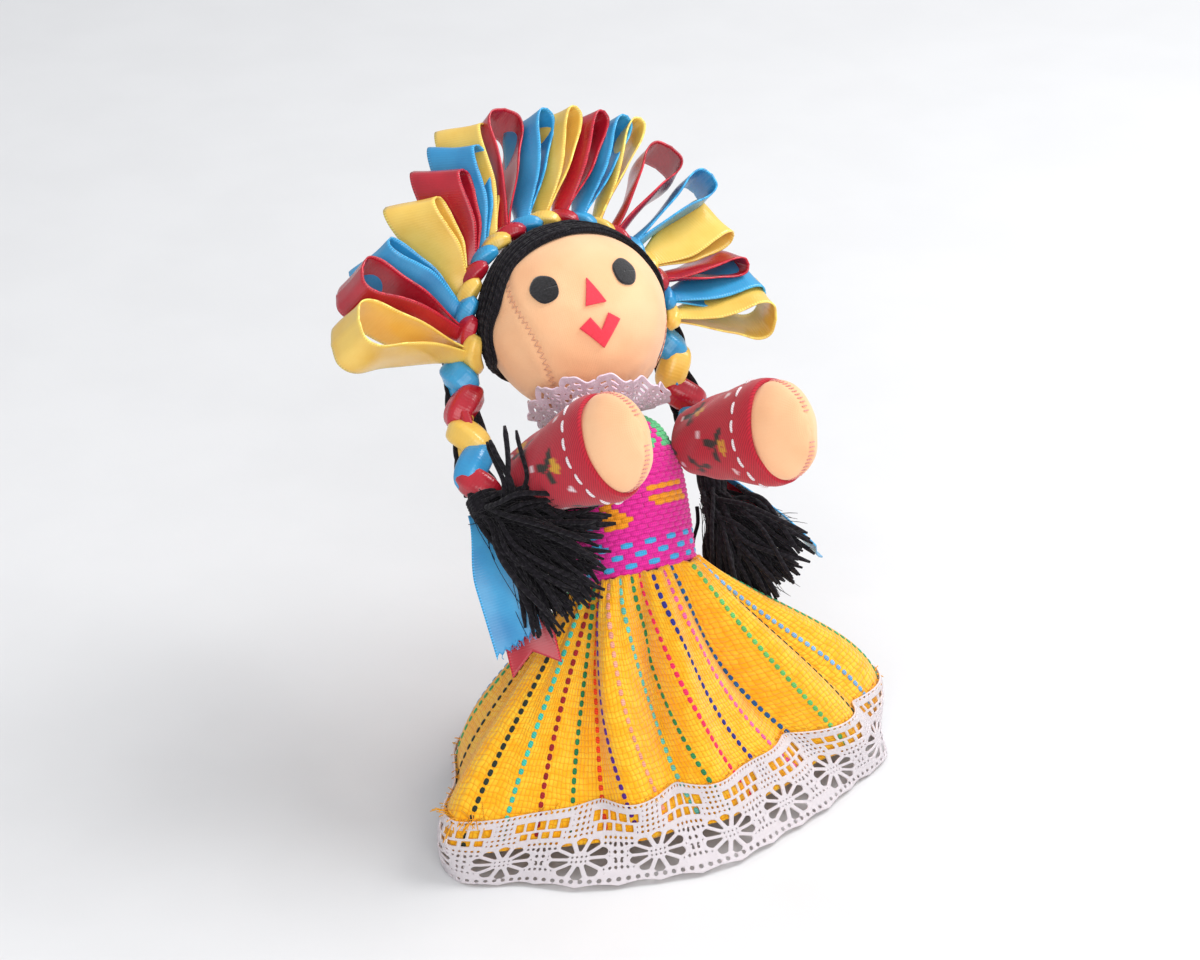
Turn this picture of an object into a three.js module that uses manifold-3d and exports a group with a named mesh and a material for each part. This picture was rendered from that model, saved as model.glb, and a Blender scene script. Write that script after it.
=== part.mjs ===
// A small cloth doll in folk dress, leaning back on its wide gathered skirt.
// Millimetres, +Z up. The doll faces -Y and its left hand is on +X.
import * as THREE from "three";
import { mergeVertices } from "three/addons/utils/BufferGeometryUtils.js";
import Module from "manifold-3d";

const wasm = await Module();
wasm.setup();

// Stance
const ORIGIN_BACK = 23.91; // the origin lies this far behind the middle of the hem
const ORIGIN_SIDE = 2.57; // and this far towards +X
const WAIST_HEIGHT = 46;
const WAIST_BACK = 9; // the waist stands this far behind the middle of the hem
const TORSO_LEAN = 31; // degrees backwards
const NECK_LEAN = 9; // degrees the head leans further back than the torso

// Cloth and gaps
const FIT_GAP = 0.35;
const COVER_CLOTH = 0.6;
const BODICE_CLOTH = 0.8;
const SLEEVE_CLOTH = 0.7;
const SKIRT_CLOTH = 0.8;
const LACE_CLOTH = 0.6;
const PATCH_CLOTH = 0.4;
const RIBBON_WIDTH = 10;
const RIBBON_CLOTH = 0.45;

// Torso, heights measured up the leaning axis from the waist
const TORSO_FLATNESS = 0.8; // depth over width
const WAIST_HALF = 10.4;
const CHEST_HALF = 11.4;
const CHEST_HEIGHT = 17;
const HIP_DROP = 9.5;
const SHOULDER_HEIGHT = 24.5;
const SHOULDER_HALF = 9.4;
const NECK_HALF = 5.2;
const NECK_STUB = 3; // the neck stub stands this far above the neck hinge
const NECK_PIVOT = 31;

// Head
const HEAD_WIDTH = 34.4;
const HEAD_DEPTH = 32;
const HEAD_HEIGHT = 35;
const HEAD_LIFT = 17; // centre of the head above the neck hinge
const NECK_ROOM = 1.8; // free room over the neck stub, for the nod
const NECK_PLAY = 0.85; // free room round the neck stub
const FACE_SEAM_HALF = 13.3; // the side seams of the face panel
const FACE_SEAM_BACK = 1; // the face panel ends this far behind the middle of the head
const HAIR_THICK = 1.3;
const HAIR_LINE = 2; // distance of the sloping hair line from the middle of the head
const HAIR_SLOPE = 45; // degrees

// Face
const FACE_SIDE = -1.8; // the face looks a little towards -X
const EYE_DIAMETER = 5.5;
const EYE_SIDE = 7.7;
const EYE_HEIGHT = 4;
const NOSE_WIDTH = 4.2;
const NOSE_TALL = 5.4;
const NOSE_HEIGHT = 1.4;
const MOUTH_WIDTH = 7.8;
const MOUTH_TALL = 5.6;
const MOUTH_HEIGHT = -6;

// Ribbon crown
const CROWN_BACK = 5; // plane of the crown behind the middle of the head
const CROWN_SPAN = 95; // degrees from the top down to each end
const KNOT_LONG = 1.6;
const KNOT_THICK = 1.7;
const KNOT_DEEP = 2.3;
const LOOP_PINCH = 3.2; // ribbon width at the foot of a loop

// Arms
const ARM_PIVOT_SIDE = 17;
const ARM_PIVOT_FORWARD = 5.9;
const ARM_PIVOT_HEIGHT = 20.5;
const ARM_LENGTH = 31;
const ARM_ROOT = 5.9;
const HAND_HALF_WIDTH = 6;
const HAND_HALF_TALL = 8.8;
const SLEEVE_LENGTH = 21.5;
const CUFF_SLACK = 0.9; // extra room between hand and cuff
const RIGHT_ARM_TURN = 19; // degrees towards +X
const RIGHT_ARM_RISE = 8;
const LEFT_ARM_TURN = 14;
const LEFT_ARM_RISE = -3;
const SOCKET_PLAY = 0.5;

// Legs
const LEG_SIDE = 6.3;
const LEG_BACK = 4.6;
const LEG_PIVOT_HEIGHT = 32.2;
const LEG_HALF = 5;
const ANKLE_HALF = 4.2;
const SOLE_HALF = 4.4;

// Skirt and hem lace
const HEM_HALF_WIDTH = 48;
const HEM_HALF_DEPTH = 36;
// Outline of the hem from +X round by +Y, as shares of its half width and half depth
const HEM_OUTLINE = [
  [1.01, 0.17], [0.83, 0.69], [0.42, 1], [-0.07, 1], [-0.48, 0.69], [-0.77, 0.22],
  [-0.94, -0.2], [-0.71, -0.44], [-0.33, -0.69], [0.15, -0.715], [0.595, -0.475], [0.93, -0.22],
];
const SIDE_PUFF = 0.28; // how far the sides swell out below the waist
const PUFF_LOW = 1.6; // above 1 the swell sits nearer the hem than the waist
const SIDE_SWAY = 0.02; // the left side swells more than the right
const FRONT_HOLLOW = 0.13; // how far the front draws in
const BACK_PUFF = 0.06;
const FOLD_COUNT = 11;
const FOLD_DEPTH = 1.7;
const WAIST_GATHER = 0.45;
const HEM_WAVE = 0.7;
const SKIRT_END = 0.87; // share of the fall covered by the woven cloth
const LACE_START = 0.745;

// Collar
const COLLAR_HEIGHT = 28.6;
const COLLAR_INNER = 6.7;
const COLLAR_REACH = 13.4;
const COLLAR_FRONT_RISE = 6.6;
const COLLAR_BACK_RISE = 0.9;
const COLLAR_FRONT = 240; // degrees round the neck to the tallest part
const COLLAR_FRILLS = 13;
const COLLAR_FRILL_DEPTH = 0.7;

// Braids
const STRAND_HALF = 1.3;
const STRAND_SIDE = 2.2; // sideways swing of a strand
const STRAND_DEEP = 2.02; // swing through the thickness of the braid
const STRAND_TURNS = 0.8; // whole plaits along one braid
const TIE_HALF = 3.4;
const TIE_LONG = 2.4;
const TASSEL_HALF = 5;
const TAIL_WIDTH = 9;

const rad = THREE.MathUtils.degToRad;
const vec = (x, y, z) => new THREE.Vector3(x, y, z);

// Solids
function solidOf(geometry) {
  const bare = geometry.clone();
  bare.deleteAttribute("normal");
  bare.deleteAttribute("uv");
  const merged = mergeVertices(bare, 1e-4);
  const build = (faces) =>
    new wasm.Manifold(
      new wasm.Mesh({
        numProp: 3,
        vertProperties: new Float32Array(merged.attributes.position.array),
        triVerts: faces,
      }),
    );
  const faces = new Uint32Array(merged.index.array);
  const made = build(faces);
  if (made.volume() > 0) return made;
  for (let i = 0; i < faces.length; i += 3) {
    const second = faces[i + 1];
    faces[i + 1] = faces[i + 2];
    faces[i + 2] = second;
  }
  return build(faces);
}

function geometryOf(solid) {
  const mesh = solid.getMesh();
  const geometry = new THREE.BufferGeometry();
  const positions = new Float32Array(mesh.numVert * 3);
  for (let i = 0; i < mesh.numVert; i += 1) {
    for (let k = 0; k < 3; k += 1) {
      positions[i * 3 + k] = mesh.vertProperties[i * mesh.numProp + k];
    }
  }
  geometry.setAttribute("position", new THREE.BufferAttribute(positions, 3));
  geometry.setIndex(new THREE.BufferAttribute(new Uint32Array(mesh.triVerts), 1));
  geometry.computeVertexNormals();
  return geometry;
}

// Skin through rings of equal point count. A closed skin joins its last ring to its first.
function loft(rings, closed) {
  const sides = rings[0].length;
  const positions = [];
  const faces = [];
  for (const ring of rings) {
    for (const p of ring) positions.push(p.x, p.y, p.z);
  }
  const spans = closed ? rings.length : rings.length - 1;
  for (let r = 0; r < spans; r += 1) {
    const here = r * sides;
    const next = ((r + 1) % rings.length) * sides;
    for (let s = 0; s < sides; s += 1) {
      const t = (s + 1) % sides;
      faces.push(here + s, here + t, next + t);
      faces.push(here + s, next + t, next + s);
    }
  }
  if (!closed) {
    for (const r of [0, rings.length - 1]) {
      const middle = vec(0, 0, 0);
      for (const p of rings[r]) middle.addScaledVector(p, 1 / sides);
      const hub = positions.length / 3;
      positions.push(middle.x, middle.y, middle.z);
      for (let s = 0; s < sides; s += 1) {
        const a = r * sides + s;
        const b = r * sides + ((s + 1) % sides);
        if (r === 0) faces.push(hub, b, a);
        else faces.push(hub, a, b);
      }
    }
  }
  const geometry = new THREE.BufferGeometry();
  geometry.setAttribute("position", new THREE.Float32BufferAttribute(positions, 3));
  geometry.setIndex(faces);
  return solidOf(geometry);
}

// Ring of an ellipse across the Z axis.
function ovalRing(height, halfX, halfY, sides) {
  const ring = [];
  for (let s = 0; s < sides; s += 1) {
    const angle = (s / sides) * Math.PI * 2;
    ring.push(vec(halfX * Math.cos(angle), halfY * Math.sin(angle), height));
  }
  return ring;
}

// Swelling form round the Z axis from stations of [height, half width, half depth].
function swelling(stations, sides) {
  return loft(
    stations.map((st) => ovalRing(st[0], st[1], st[2], sides)),
    false,
  );
}

// The same stations drawn in by a cloth thickness. Both ends move by their own amounts.
function drawnIn(stations, inset, startShift, endShift) {
  const last = stations.length - 1;
  return stations.map((st, i) => {
    let height = st[0];
    if (i === 0) height += startShift;
    if (i === last) height += endShift;
    return [height, Math.max(st[1] - inset, 0.4), Math.max(st[2] - inset, 0.4)];
  });
}

function ball(halfX, halfY, halfZ, around, down) {
  const geometry = new THREE.SphereGeometry(1, around, down);
  geometry.rotateX(Math.PI / 2);
  geometry.scale(halfX, halfY, halfZ);
  return solidOf(geometry);
}

function block(width, depth, height) {
  return solidOf(new THREE.BoxGeometry(width, depth, height));
}

// Sheet of even thickness that closes round on itself: pointAt(around, down) gives its middle surface.
function roundSheet(pointAt, around, downs, thickness, lift, flatEnd) {
  const outer = [];
  const inner = [];
  const step = 1e-3;
  for (const down of downs) {
    const outerRing = [];
    const innerRing = [];
    for (let s = 0; s < around; s += 1) {
      const u = (s / around) * Math.PI * 2;
      const here = pointAt(u, down);
      const low = Math.max(down - step, 0);
      const alongDown = pointAt(u, low + step).sub(pointAt(u, low));
      const alongRound = pointAt(u + step, down).sub(pointAt(u - step, down));
      const normal = alongDown.cross(alongRound).normalize();
      outerRing.push(here.clone().addScaledVector(normal, lift + thickness / 2));
      innerRing.push(here.clone().addScaledVector(normal, lift - thickness / 2));
    }
    outer.push(outerRing);
    inner.unshift(innerRing);
  }
  if (flatEnd) {
    for (const p of outer[outer.length - 1]) p.z = 0;
    for (const p of inner[0]) p.z = 0;
  }
  return loft([...outer, ...inner], true);
}

// Flat ribbon along points, each with its own width and width direction.
function ribbon(points, widths, across, thickness) {
  const rings = points.map((p, i) => {
    const before = points[Math.max(i - 1, 0)];
    const after = points[Math.min(i + 1, points.length - 1)];
    const along = after.clone().sub(before).normalize();
    const wide = across[i].clone().addScaledVector(along, -across[i].dot(along)).normalize();
    const face = along.clone().cross(wide);
    const corner = (w, f) =>
      p
        .clone()
        .addScaledVector(wide, (w * widths[i]) / 2)
        .addScaledVector(face, (f * thickness) / 2);
    return [corner(-1, -1), corner(1, -1), corner(1, 1), corner(-1, 1)];
  });
  return loft(rings, false);
}

// Round strand along points.
function strand(points, radii, sides) {
  const rings = points.map((p, i) => {
    const before = points[Math.max(i - 1, 0)];
    const after = points[Math.min(i + 1, points.length - 1)];
    const along = after.clone().sub(before).normalize();
    const side = vec(0, 1, 0).addScaledVector(along, -along.y).normalize();
    const other = along.clone().cross(side);
    const ring = [];
    for (let s = 0; s < sides; s += 1) {
      const angle = (s / sides) * Math.PI * 2;
      ring.push(
        p
          .clone()
          .addScaledVector(side, Math.cos(angle) * radii[i])
          .addScaledVector(other, Math.sin(angle) * radii[i]),
      );
    }
    return ring;
  });
  return loft(rings, false);
}

// Frames of the assembly
const doll = new THREE.Group();
doll.name = "cloth_doll";
doll.position.set(-ORIGIN_SIDE, -ORIGIN_BACK, 0);

const torso = new THREE.Group();
torso.position.set(0, WAIST_BACK, WAIST_HEIGHT);
torso.rotation.x = -rad(TORSO_LEAN);
doll.add(torso);

const head = new THREE.Group();
head.position.set(0, 0, NECK_PIVOT);
head.rotation.x = -rad(NECK_LEAN);
torso.add(head);

const headMiddle = new THREE.Group();
headMiddle.position.z = HEAD_LIFT;
head.add(headMiddle);

const SKIN = 0xf8cfa6;
const STUFFING = 0xf4f1ea;
const BLACK = 0x26232a;
const RED = 0xb8202f;
const BLUE = 0x3fa7d8;
const YELLOW = 0xf0cb62;
const CORAL = 0xe8404f;
const MAGENTA = 0xe0249a;
const SKIRT_YELLOW = 0xf7aa12;
const LACE_WHITE = 0xf6e6ec;
const LACE_PINK = 0xe9bcdc;
const COTTON = 0.9;
const SATIN = 0.35;

function add(parent, name, solid, color, roughness) {
  const material = new THREE.MeshStandardMaterial({ color, roughness, metalness: 0 });
  const mesh = new THREE.Mesh(geometryOf(solid), material);
  mesh.name = name;
  parent.add(mesh);
  return mesh;
}

// Torso cover, stuffing and bodice
const torsoStations = (grow) =>
  [
    [-HIP_DROP, 3],
    [-HIP_DROP * 0.92, 5.8],
    [-HIP_DROP * 0.5, WAIST_HALF - 1.2],
    [0, WAIST_HALF],
    [CHEST_HEIGHT * 0.5, (WAIST_HALF + CHEST_HALF) / 2 + 0.3],
    [CHEST_HEIGHT, CHEST_HALF],
    [SHOULDER_HEIGHT, SHOULDER_HALF],
    [(SHOULDER_HEIGHT + NECK_PIVOT) / 2, NECK_HALF + 1],
    [NECK_PIVOT - 1.5, NECK_HALF],
    [NECK_PIVOT + NECK_STUB, NECK_HALF],
  ].map((st) => [st[0], st[1] + grow, st[1] * TORSO_FLATNESS + grow]);

const TORSO_SIDES = 20;
const torsoOuter = swelling(torsoStations(0), TORSO_SIDES);
const torsoHollow = swelling(
  drawnIn(torsoStations(0), COVER_CLOTH, COVER_CLOTH, 1),
  TORSO_SIDES,
);
const stuffingInset = COVER_CLOTH + FIT_GAP;
const torsoFill = swelling(
  drawnIn(torsoStations(0), stuffingInset, stuffingInset, -0.5),
  TORSO_SIDES,
);

// Arms: local -Y runs along the arm, local Z is up
const sleeveRoot = ARM_ROOT + FIT_GAP + SLEEVE_CLOTH;
const socketHalf = sleeveRoot + SOCKET_PLAY;
const socketAt = (side) =>
  ball(socketHalf, socketHalf, socketHalf, 16, 10).translate([
    side * ARM_PIVOT_SIDE,
    -ARM_PIVOT_FORWARD,
    ARM_PIVOT_HEIGHT,
  ]);
const sockets = socketAt(1).add(socketAt(-1));

add(torso, "body_cover", torsoOuter.subtract(torsoHollow).subtract(sockets), SKIN, COTTON);
add(torso, "body_stuffing", torsoFill.subtract(sockets), STUFFING, COTTON);

const bodiceRim = 0.7; // the lower edge of the bodice above the waist line
const bodiceStations = (grow) =>
  torsoStations(grow)
    .slice(3, 8)
    .map((st, i) => (i === 0 ? [bodiceRim, st[1], st[2]] : st));
const bodiceInner = FIT_GAP;
const bodiceOuter = FIT_GAP + BODICE_CLOTH;
const bodiceRings = (grow) =>
  bodiceStations(grow).map((st) => ovalRing(st[0], st[1], st[2], TORSO_SIDES));
const bodice = loft(
  [...bodiceRings(bodiceOuter), ...bodiceRings(bodiceInner).reverse()],
  true,
);
add(torso, "bodice", bodice.subtract(sockets), MAGENTA, COTTON);

const armStations = [
  [-ARM_ROOT, 1.6, 1.6],
  [-ARM_ROOT * 0.8, ARM_ROOT * 0.6, ARM_ROOT * 0.6],
  [-ARM_ROOT * 0.35, ARM_ROOT * 0.93, ARM_ROOT * 0.93],
  [0, ARM_ROOT, ARM_ROOT],
  [ARM_LENGTH * 0.35, ARM_ROOT, (ARM_ROOT + HAND_HALF_TALL) / 2],
  [ARM_LENGTH * 0.68, HAND_HALF_WIDTH, HAND_HALF_TALL],
  [ARM_LENGTH * 0.85, HAND_HALF_WIDTH * 0.93, HAND_HALF_TALL * 0.88],
  [ARM_LENGTH * 0.96, HAND_HALF_WIDTH * 0.6, HAND_HALF_TALL * 0.55],
  [ARM_LENGTH, HAND_HALF_WIDTH * 0.2, HAND_HALF_TALL * 0.2],
];
const ARM_SIDES = 14;
const sleeveStations = (grow, slack) => [
  [-ARM_ROOT * 0.8 - grow * 0.5, ARM_ROOT * 0.6 + grow * 0.5, ARM_ROOT * 0.6 + grow * 0.5],
  [-ARM_ROOT * 0.35, ARM_ROOT * 0.93 + grow, ARM_ROOT * 0.93 + grow],
  [0, ARM_ROOT + grow, ARM_ROOT + grow],
  [ARM_LENGTH * 0.35, ARM_ROOT + grow + slack / 2, (ARM_ROOT + HAND_HALF_TALL) / 2 + grow + slack / 2],
  [SLEEVE_LENGTH, HAND_HALF_WIDTH + grow + slack, HAND_HALF_TALL + grow + slack],
];
const sleeveRings = (grow) =>
  sleeveStations(grow, CUFF_SLACK).map((st) => ovalRing(st[0], st[1], st[2], ARM_SIDES));

// Stations run along Z, so each finished form is laid along -Y
const laidForward = (solid) => solid.rotate([90, 0, 0]);
const armOuter = swelling(armStations, ARM_SIDES);
const armHollow = swelling(
  drawnIn(armStations, COVER_CLOTH, -1, -COVER_CLOTH),
  ARM_SIDES,
);
const armFill = swelling(
  drawnIn(armStations, stuffingInset, 0.6, -stuffingInset),
  ARM_SIDES,
);
const sleeve = loft(
  [
    ...sleeveRings(FIT_GAP + SLEEVE_CLOTH),
    ...sleeveRings(FIT_GAP).reverse(),
  ],
  true,
);

function addArm(name, side, turn, rise) {
  const arm = new THREE.Group();
  arm.position.set(side * ARM_PIVOT_SIDE, -ARM_PIVOT_FORWARD, ARM_PIVOT_HEIGHT);
  arm.rotation.order = "ZYX";
  arm.rotation.set(-rad(rise), 0, rad(turn));
  torso.add(arm);
  add(arm, name + "_arm_cover", laidForward(armOuter.subtract(armHollow)), SKIN, COTTON);
  add(arm, name + "_arm_stuffing", laidForward(armFill), STUFFING, COTTON);
  add(arm, name + "_sleeve", laidForward(sleeve), RED, COTTON);
}
addArm("right", -1, RIGHT_ARM_TURN, RIGHT_ARM_RISE);
addArm("left", 1, LEFT_ARM_TURN, LEFT_ARM_RISE);

// Legs stand upright under the skirt
const legStations = [
  [0, SOLE_HALF - 0.5, SOLE_HALF - 0.5],
  [0.8, SOLE_HALF + 0.2, SOLE_HALF + 0.2],
  [4, SOLE_HALF + 0.5, SOLE_HALF + 0.5],
  [9, ANKLE_HALF, ANKLE_HALF],
  [LEG_PIVOT_HEIGHT * 0.65, LEG_HALF, LEG_HALF],
  [LEG_PIVOT_HEIGHT, LEG_HALF, LEG_HALF],
  [LEG_PIVOT_HEIGHT + LEG_HALF * 0.7, LEG_HALF * 0.71, LEG_HALF * 0.71],
  [LEG_PIVOT_HEIGHT + LEG_HALF, LEG_HALF * 0.3, LEG_HALF * 0.3],
];
const LEG_SIDES = 12;
const legOuter = swelling(legStations, LEG_SIDES);
const legHollow = swelling(drawnIn(legStations, COVER_CLOTH, COVER_CLOTH, 1), LEG_SIDES);
const legFill = swelling(
  drawnIn(legStations, stuffingInset, stuffingInset, -0.4),
  LEG_SIDES,
);

function addLeg(name, side) {
  const leg = new THREE.Group();
  leg.position.set(side * LEG_SIDE, LEG_BACK, 0);
  doll.add(leg);
  add(leg, name + "_leg_cover", legOuter.subtract(legHollow), SKIN, COTTON);
  add(leg, name + "_leg_stuffing", legFill, STUFFING, COTTON);
}
addLeg("right", -1);
addLeg("left", 1);

// Skirt: falls from the leaning waist to a flat hem, puffed out below the waist
const waistHalfX = WAIST_HALF + bodiceOuter;
const waistHalfY = WAIST_HALF * TORSO_FLATNESS + bodiceOuter;
const hemCurve = new THREE.CatmullRomCurve3(
  HEM_OUTLINE.map((p) => vec(p[0] * HEM_HALF_WIDTH, p[1] * HEM_HALF_DEPTH, 0)),
  true,
  "catmullrom",
);
const leanSin = Math.sin(rad(TORSO_LEAN));
const leanCos = Math.cos(rad(TORSO_LEAN));

function skirtPoint(u, down) {
  const c = Math.cos(u);
  const s = Math.sin(u);
  const waistDrop = -0.5;
  const waistY = waistHalfY * s;
  const topX = waistHalfX * c;
  const topY = WAIST_BACK + waistY * leanCos + waistDrop * leanSin;
  const topZ = WAIST_HEIGHT - waistY * leanSin + waistDrop * leanCos;
  const hem = hemCurve.getPoint(u / (2 * Math.PI));
  const puff =
    SIDE_PUFF + SIDE_SWAY * c + (s < 0 ? SIDE_PUFF + FRONT_HOLLOW : BACK_PUFF) * s;
  const out = down + puff * Math.sin(Math.PI * down ** PUFF_LOW);
  const wave = Math.cos(FOLD_COUNT * u + 0.9 * Math.sin(2 * u));
  const middle = Math.sin(Math.PI * down);
  const depth = (WAIST_GATHER * (1 - down) + FOLD_DEPTH * middle + HEM_WAVE * down) * wave;
  const x = topX + (hem.x - topX) * out;
  const y = topY + (hem.y - topY) * out;
  return vec(x + depth * c, y + depth * s, topZ * (1 - down));
}
const SKIRT_AROUND = 77;
const share = (from, to, count) =>
  Array.from({ length: count }, (_, i) => from + ((to - from) * i) / (count - 1));
add(
  doll,
  "skirt",
  roundSheet(skirtPoint, SKIRT_AROUND, share(0, SKIRT_END, 7), SKIRT_CLOTH, 0, false),
  SKIRT_YELLOW,
  COTTON,
);
const laceLift = SKIRT_CLOTH / 2 + FIT_GAP + LACE_CLOTH / 2;
add(
  doll,
  "hem_lace",
  roundSheet(skirtPoint, SKIRT_AROUND, share(LACE_START, 1, 3), LACE_CLOTH, laceLift, true),
  LACE_WHITE,
  COTTON,
);

// Collar: a frill that stands up under the chin and lies flat behind
function collarPoint(u, down) {
  const front = (1 + Math.cos(u - rad(COLLAR_FRONT))) / 2;
  const rise = COLLAR_BACK_RISE + (COLLAR_FRONT_RISE - COLLAR_BACK_RISE) * front ** 2;
  const frill = COLLAR_FRILL_DEPTH * down * Math.sin(COLLAR_FRILLS * u);
  const reach = COLLAR_INNER + (COLLAR_REACH - COLLAR_INNER) * down;
  return vec(
    reach * Math.cos(u),
    reach * Math.sin(u),
    COLLAR_HEIGHT + rise * down + frill,
  );
}
add(
  torso,
  "collar_lace",
  roundSheet(collarPoint, 52, [0, 0.5, 1], LACE_CLOTH, 0, false),
  LACE_PINK,
  COTTON,
);

// Head panels, stuffing, hair and face, round the middle of the head
const HEAD_AROUND = 24;
const HEAD_DOWN = 13;
const headForm = (grow) =>
  ball(
    HEAD_WIDTH / 2 + grow,
    HEAD_DEPTH / 2 + grow,
    HEAD_HEIGHT / 2 + grow,
    HEAD_AROUND,
    HEAD_DOWN,
  );
const neckHole = NECK_HALF + NECK_PLAY;
const neckRecess = NECK_STUB + NECK_ROOM;
const neckRoom = swelling(
  [
    [-HEAD_LIFT - 4, neckHole, neckHole * TORSO_FLATNESS + 0.6],
    [-HEAD_LIFT + neckRecess, neckHole, neckHole * TORSO_FLATNESS + 0.6],
  ],
  TORSO_SIDES,
);
const headShell = headForm(0).subtract(headForm(-COVER_CLOTH)).subtract(neckRoom);
const faceBlock = (grow) =>
  block(FACE_SEAM_HALF * 2 + grow * 2, HEAD_DEPTH + grow * 2, HEAD_HEIGHT * 2).translate([
    0,
    FACE_SEAM_BACK - HEAD_DEPTH / 2,
    0,
  ]);
add(headMiddle, "face_panel", headShell.intersect(faceBlock(0)), SKIN, COTTON);
add(headMiddle, "head_back_panel", headShell.subtract(faceBlock(FIT_GAP)), SKIN, COTTON);
add(headMiddle, "head_stuffing", headForm(-stuffingInset).subtract(neckRoom), STUFFING, COTTON);

const hairSide = block(90, 90, 90)
  .translate([0, 0, 45 + HAIR_LINE])
  .rotate([-HAIR_SLOPE, 0, 0]);
const hair = headForm(FIT_GAP + HAIR_THICK).subtract(headForm(FIT_GAP)).intersect(hairSide);
add(headMiddle, "hair", hair, BLACK, COTTON);

const patchLayer = headForm(FIT_GAP + PATCH_CLOTH).subtract(headForm(FIT_GAP));
function patch(name, outline, side, height, color) {
  const shape = new THREE.Shape(outline);
  const prism = new THREE.ExtrudeGeometry(shape, { depth: 40, bevelEnabled: false });
  prism.rotateX(Math.PI / 2);
  const cutter = solidOf(prism).translate([side, 0, height]);
  add(headMiddle, name, patchLayer.intersect(cutter), color, 0.7);
}
const disc = Array.from({ length: 16 }, (_, i) => {
  const angle = (i / 16) * Math.PI * 2;
  return new THREE.Vector2(Math.cos(angle), Math.sin(angle)).multiplyScalar(EYE_DIAMETER / 2);
});
const flat = (pairs, width, tall) =>
  pairs.map((p) => new THREE.Vector2((p[0] * width) / 2, (p[1] * tall) / 2));
patch("left_eye", disc, FACE_SIDE + EYE_SIDE, EYE_HEIGHT, BLACK);
patch("right_eye", disc, FACE_SIDE - EYE_SIDE, EYE_HEIGHT, BLACK);
patch(
  "nose",
  flat([[-1, -1], [1, -1], [0, 1]], NOSE_WIDTH, NOSE_TALL),
  FACE_SIDE,
  NOSE_HEIGHT,
  CORAL,
);
patch(
  "mouth",
  flat([[0, -1], [1, 0.55], [0.35, 0.95], [0, 0.1], [-0.35, 0.95], [-1, 0.55]], MOUTH_WIDTH, MOUTH_TALL),
  FACE_SIDE,
  MOUTH_HEIGHT,
  CORAL,
);

// Crown: each loop is a bight of ribbon with its own crossing of the plait at its foot.
// lean: degrees round the crown, tip: degrees to the back, twist: degrees about its own length.
const crownLoops = [
  { color: "yellow", lean: 19.4, tip: -16, twist: 40, length: 27.5, open: 2.2 },
  { color: "red", lean: 27.8, tip: -10, twist: 46, length: 25.3, open: 1.8 },
  { color: "blue", lean: 27, tip: -5, twist: 46, length: 21.5, open: 1.2 },
  { color: "yellow", lean: 43, tip: -5, twist: 52, length: 20.9, open: 1 },
  { color: "red", lean: 46, tip: -1.5, twist: 55, length: 22.1, open: 0.8 },
  { color: "blue", lean: 44, tip: 6, twist: 57, length: 24.4, open: 0.8 },
  { color: "yellow", lean: 38.5, tip: 14, twist: 60, length: 27.5, open: 0.8 },
  { color: "red", lean: 36.5, tip: 12, twist: 80, length: 26, open: 1 },
  { color: "blue", lean: 34, tip: 9, twist: 72, length: 24.5, open: 1 },
  { color: "yellow", lean: 28, tip: 6, twist: 72, length: 24.4, open: 1.1 },
  { color: "red", lean: 22.5, tip: 6, twist: 72, length: 23.9, open: 1.1 },
  { color: "blue", lean: 15.5, tip: 6, twist: 72, length: 23.8, open: 1.1 },
  { color: "yellow", lean: 6.5, tip: 6, twist: 85, length: 24.6, open: 1.2 },
  { color: "red", lean: 7, tip: 4, twist: 95, length: 21.9, open: 1.7 },
  { color: "blue", lean: 10, tip: 2, twist: 95, length: 22.5, open: 1.6 },
  { color: "yellow", lean: 9.5, tip: 0, twist: 66, length: 19.7, open: 1.5 },
  { color: "red", lean: 15, tip: 0, twist: 78, length: 18.8, open: 1.4 },
  { color: "blue", lean: 7, tip: 0, twist: 68, length: 20.2, open: 1.4 },
  { color: "yellow", lean: 2.5, tip: -2, twist: 62, length: 21, open: 2 },
];
const ribbonColors = { yellow: YELLOW, red: RED, blue: BLUE };
const crownHair = FIT_GAP + HAIR_THICK;
const crownShare = Math.sqrt(1 - (CROWN_BACK / (HEAD_DEPTH / 2 + crownHair)) ** 2);
const crownHalfX = (HEAD_WIDTH / 2 + crownHair) * crownShare + FIT_GAP + KNOT_THICK;
const crownHalfZ = (HEAD_HEIGHT / 2 + crownHair) * crownShare + FIT_GAP + KNOT_THICK;

// One side of a loop from foot to tip, as shares of its length and of its opening
const loopSide = new THREE.SplineCurve([
  new THREE.Vector2(0, 0.22),
  new THREE.Vector2(0.3, 0.45),
  new THREE.Vector2(0.62, 0.9),
  new THREE.Vector2(0.86, 1),
  new THREE.Vector2(0.975, 0.6),
  new THREE.Vector2(1, 0),
]);
const LOOP_STEPS = 5;

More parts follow.
